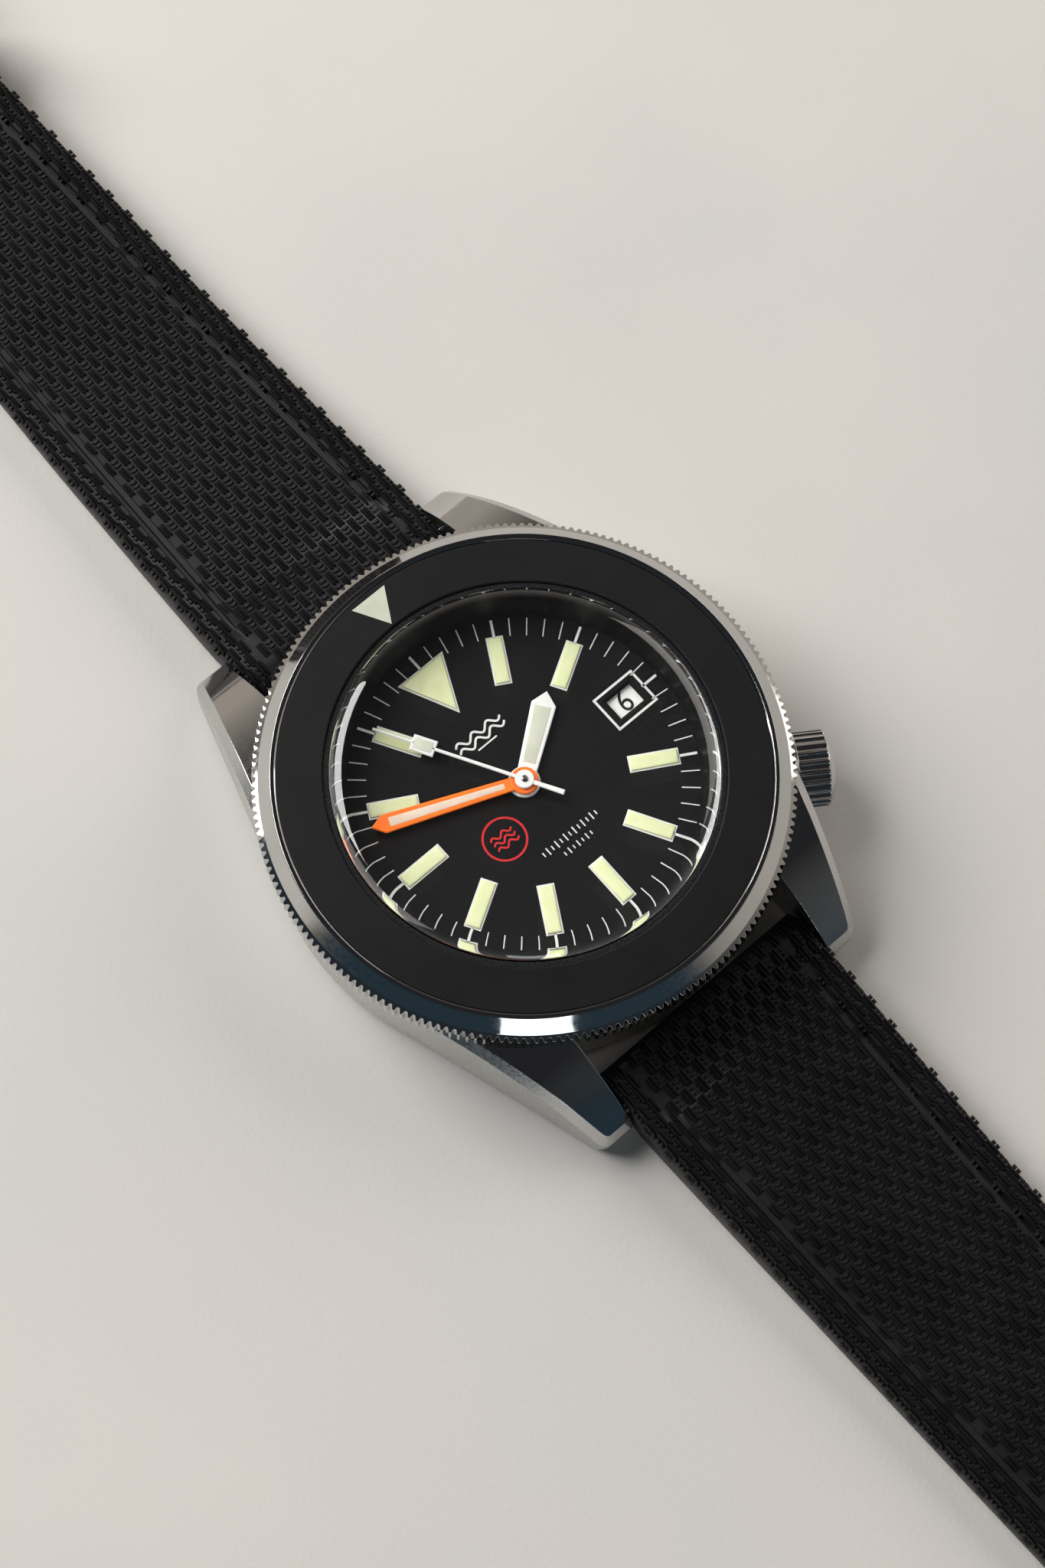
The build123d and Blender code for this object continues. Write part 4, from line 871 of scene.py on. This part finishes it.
beside = reckon(weave_tree, "SUBTRACT", half_here, given["Edge distance"])
x_here = reckon(weave_tree, "MULTIPLY_ADD", given["Side"], beside, across)
sideways = add(weave_tree, "ShaderNodeCombineXYZ", {"X": x_here}).outputs[0]
there = add(weave_tree, "ShaderNodeVectorMath", {0: sample.outputs["Position"], 1: sideways}, operation="ADD")
limit = reckon(weave_tree, "SUBTRACT", half_here, given["Keep within edge"])
outside = reckon(weave_tree, "GREATER_THAN", reckon(weave_tree, "ABSOLUTE", x_here), limit)
lean = add(weave_tree, "FunctionNodeAlignRotationToVector", {"Vector": sample.outputs["Tangent"]},
           axis="Y", pivot_axis="X")
noted = lattice
for label, value, kind in (("lean", lean.outputs[0], "QUATERNION"), ("outside", outside, "FLOAT")):
    noted = add(weave_tree, "GeometryNodeStoreNamedAttribute", {
        "Geometry": noted, "Name": label, "Value": value}, data_type=kind).outputs[0]
laid = add(weave_tree, "GeometryNodeSetPosition", {"Geometry": noted, "Position": there.outputs[0]}).outputs[0]
is_outside = reckon(weave_tree, "GREATER_THAN", add(
    weave_tree, "GeometryNodeInputNamedAttribute", {"Name": "outside"}).outputs[0], 0.5)
inside = add(weave_tree, "GeometryNodeDeleteGeometry", {"Geometry": laid, "Selection": is_outside}).outputs[0]
leaning = add(weave_tree, "GeometryNodeInputNamedAttribute", {"Name": "lean"},
              data_type="QUATERNION").outputs[0]
cell = add(weave_tree, "GeometryNodeObjectInfo", {"Object": given["Cell"]}).outputs["Geometry"]
cells = add(weave_tree, "GeometryNodeInstanceOnPoints", {
    "Points": inside, "Instance": cell, "Rotation": leaning}).outputs[0]
made_real = add(weave_tree, "GeometryNodeRealizeInstances", {"Geometry": cells}).outputs[0]
blackened = add(weave_tree, "GeometryNodeSetMaterial", {
    "Geometry": made_real, "Material": given["Finish"]}).outputs[0]
weave_tree.links.new(blackened, result["Geometry"])


def surveyed(node):
    """A strap's half width, top and bottom at a distance from the case centre, felt from its CAD solid."""
    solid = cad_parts[node].data
    tree = BVHTree.FromPolygons([v.co for v in solid.vertices], [p.vertices for p in solid.polygons])
    low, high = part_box(node)
    side = 1 if high.y > 0 else -1
    off_centre = 1.75 * mm

    def at(distance):
        y = side * distance
        top = tree.ray_cast(Vector((off_centre, y, 1)), Vector((0, 0, -1)))[0]
        bottom = tree.ray_cast(Vector((off_centre, y, -1)), Vector((0, 0, 1)))[0]
        if top is None or bottom is None:
            return None
        above_bore = top.z - 0.04 * (top.z - bottom.z)
        edge = tree.ray_cast(Vector((1, y, above_bore)), Vector((-1, 0, 0)))[0]
        return edge.x if edge else high.x, top.z, bottom.z
    near, far = sorted((abs(low.y), abs(high.y)))
    return side, near, far, at


def smooth_step(value, low, high):
    t = min(1.0, max(0.0, (value - low) / (high - low)))
    return t * t * (3 - 2 * t)


scallop = 0.14
groove_start, groove_full = 24.6 * mm, 26.2 * mm
groove_depth, bottom_round = 0.25, 0.45


def strap_ring(side, distance, half, top, bottom):
    """The strap's section at one place: flat below, with woven edges, grooves and a lower field on top."""
    half = half / mm - scallop
    top, bottom = top / mm, bottom / mm
    thick = top - bottom
    low = min(weave_depth, thick * 0.3)
    grooved = smooth_step(distance, groove_start, groove_full)
    soft = min(bottom_round, thick * 0.3)
    groove = half + scallop - edge_width
    right = [
        (half - soft, bottom), (half - 0.3 * soft, bottom + 0.3 * soft), (half, bottom + soft),
        (half, top - low - soft * 0.6), (half - 0.3 * soft, top - low - soft * 0.2), (half - soft, top - low),
        (groove + 0.1, top - low), (groove, top - low - groove_depth * grooved),
        (groove - groove_width, top - low - groove_depth * grooved),
        (groove - groove_width - 0.08, top - low + strip_rise * grooved),
        (groove - groove_width - strip_width, top - low + strip_rise * grooved),
        (groove - groove_width - strip_width - 0.1, top - low),
    ]
    ring = right + [(-x, z) for x, z in reversed(right)]
    return [(x * mm, side * distance, z * mm) for x, z in ring]


station_step, path_steps = 1.2 * mm, 120
first_hole, hole_step, hole_count, hole_r, hole_flat = 24, 6.8, 9, 1.15, 0.45
slot_half, slot_near, slot_far = 1.25, 91.8, 101
cut_through = [(0, -2), (0, 8)]
tail_round, buckle_end_round = 8 * mm, 1.1 * mm
weave_start, tail_bare, buckle_end_bare = 0.55 * mm, 8.6 * mm, 5.5 * mm
woven_edge = {"Column pitch": edge_pitch * mm, "Edge distance": 1.12 * mm, "Stagger": 0.25}
nose = 1.85 * mm
for node in ("strap_12", "strap_6"):
    side, near, far, survey = surveyed(node)
    stations = [near + nose * (1 - cos(pi / 2 * i / 10)) for i in range(11)][1:]
    stations[0] = near + 0.02 * mm
    straight = int((far - near - nose) / station_step)
    end_round = tail_round if node == "strap_6" else buckle_end_round
    stations += [near + nose + (far - end_round - near - nose) * i / straight for i in range(1, straight)]
    stations += [far - end_round * (1 - sin(pi / 2 * i / 12)) for i in range(12)] + [far - 0.02 * mm]
    rings = [strap_ring(side, s, *survey(s)) for s in stations if survey(s)]
    body_mesh = mesh_of(node + "_rubber", *loft(rings), sharp=50)
    holes = []
    if node == "strap_6":
        for i in range(hole_count):
            at_y = -far / mm + first_hole + hole_step * i
            turns = [radians(-90 + 15 * k) for k in range(13)]
            ends = [(hole_flat + hole_r * cos(turn), at_y + hole_r * sin(turn)) for turn in turns]
            holes.append(plate(ends + [(-x, 2 * at_y - y) for x, y in ends], cut_through))
    else:
        slot = [(-slot_half, slot_near), (slot_half, slot_near), (slot_half, slot_far), (-slot_half, slot_far)]
        holes.append(plate(slot, cut_through))
    cutter = pattern("cutter", *merged(*holes))
    carrier = bpy.data.objects.new("carrier", body_mesh)
    scene.collection.objects.link(carrier)
    cut = carrier.modifiers.new("cut", "BOOLEAN")
    cut.operation, cut.object, cut.solver = "DIFFERENCE", cutter, "MANIFOLD"
    rubber = bpy.data.meshes.new_from_object(carrier.evaluated_get(bpy.context.evaluated_depsgraph_get()))
    put_away(carrier, cutter)
    rubber.shade_smooth()
    rubber.set_sharp_from_angle(angle=radians(50))
    fit(node + "_rubber", rubber, strap_rubber, node, "strap_black", node)

    path_start, path_end = near + weave_start, far - (tail_bare if node == "strap_6" else buckle_end_bare)
    distances = [path_start + (path_end - path_start) * i / path_steps for i in range(path_steps + 1)][::side]
    path_points, widths = [], []
    for distance in distances:
        half, top, bottom = survey(distance)
        path_points.append((0, side * distance, top - min(weave_depth * mm, (top - bottom) * 0.3)))
        widths.append(half)
    path_length = sum((Vector(a) - Vector(b)).length for a, b in zip(path_points, path_points[1:]))
    rows = round(path_length / (row_pitch * mm))
    for label, sizes in (
            ("weave", {"Cell": middle_cell, "Columns": 14, "Shift": -column_pitch / 4 * mm,
                       "Keep within edge": (edge_width + groove_width + strip_width / 2 + 0.05) * mm}),
            ("edge_left", {"Cell": left_cell, "Columns": 2, "Side": -1.0, **woven_edge}),
            ("edge_right", {"Cell": right_cell, "Columns": 2, "Side": 1.0, **woven_edge})):
        name = f"{node}_{label}"
        line = bpy.data.meshes.new(name)
        line.from_pydata(path_points, [(i, i + 1) for i in range(path_steps)], [])
        line.attributes.new("half_width", "FLOAT", "POINT").data.foreach_set("value", widths)
        woven = grown(name, weave_tree, line, {
            "Rows": rows, "Row pitch": path_length / (rows - 0.5), "Finish": strap_rubber, **sizes})
        fit(name, woven, strap_rubber, node, "strap_black")
put_away(middle_cell, left_cell, right_cell)

# ---- keepers and buckle --------------------------------------------------------------------------
# Two moulded rubber loops hold the strap's tail. The pin buckle is cast steel: a frame and a tongue
# that turn on one bar through the strap's end.
keeper_wall, keeper_corner = 0.95, 1.2


def keeper(node):
    """A rubber loop with rounded walls, round the box of its CAD solid."""
    low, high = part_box(node)
    half_x, half_z = (high.x - low.x) / 2 / mm, (high.z - low.z) / 2 / mm
    middle_z, low_y, high_y = (high.z + low.z) / 2 / mm, low.y / mm, high.y / mm
    rings = []
    for corner, (sx, sz) in enumerate(((1, 1), (-1, 1), (-1, -1), (1, -1))):
        for k in range(9):
            angle = pi / 2 * (corner + k / 8)
            out = Vector((cos(angle), sin(angle)))
            start = Vector((sx * (half_x - keeper_corner), sz * (half_z - keeper_corner)))
            section = [(0.0, 0.25), (0.12, 0.06), (0.3, 0.0)]
            width = high_y - low_y
            profile = section + [(keeper_wall - 0.3, 0.0), (keeper_wall - 0.1, 0.08), (keeper_wall, 0.25)]
            profile += [(d, width - y) for d, y in reversed(profile)]
            rings.append([((start.x + out.x * (keeper_corner - d)) * mm, (low_y + y) * mm,
                           (middle_z + start.y + out.y * (keeper_corner - d)) * mm) for d, y in profile])
    return mesh_of(node + "_rubber", *loft(rings, around=True), sharp=50)


fit("fixed_keeper_rubber", keeper("fixed_keeper"), strap_rubber, "strap_12", "strap_black", "fixed_keeper")
fit("free_keeper_rubber", keeper("free_keeper"), strap_rubber, "free_keeper", "strap_black", "free_keeper")
buckle_steel = new_metal("buckle_steel", steel, steel_patches, steel_glint_and_wear, 0.07, 0.16,
                         stretch=(350, 9000, 9000), edge=0.25, where=satin_flanks)
dress(buckle_steel, "buckle_frame", "buckle_tongue")
dress(winding_steel, "buckle_bar", "spring_bar_12", "spring_bar_6", "spring_bar_12_tip", "spring_bar_6_tip")
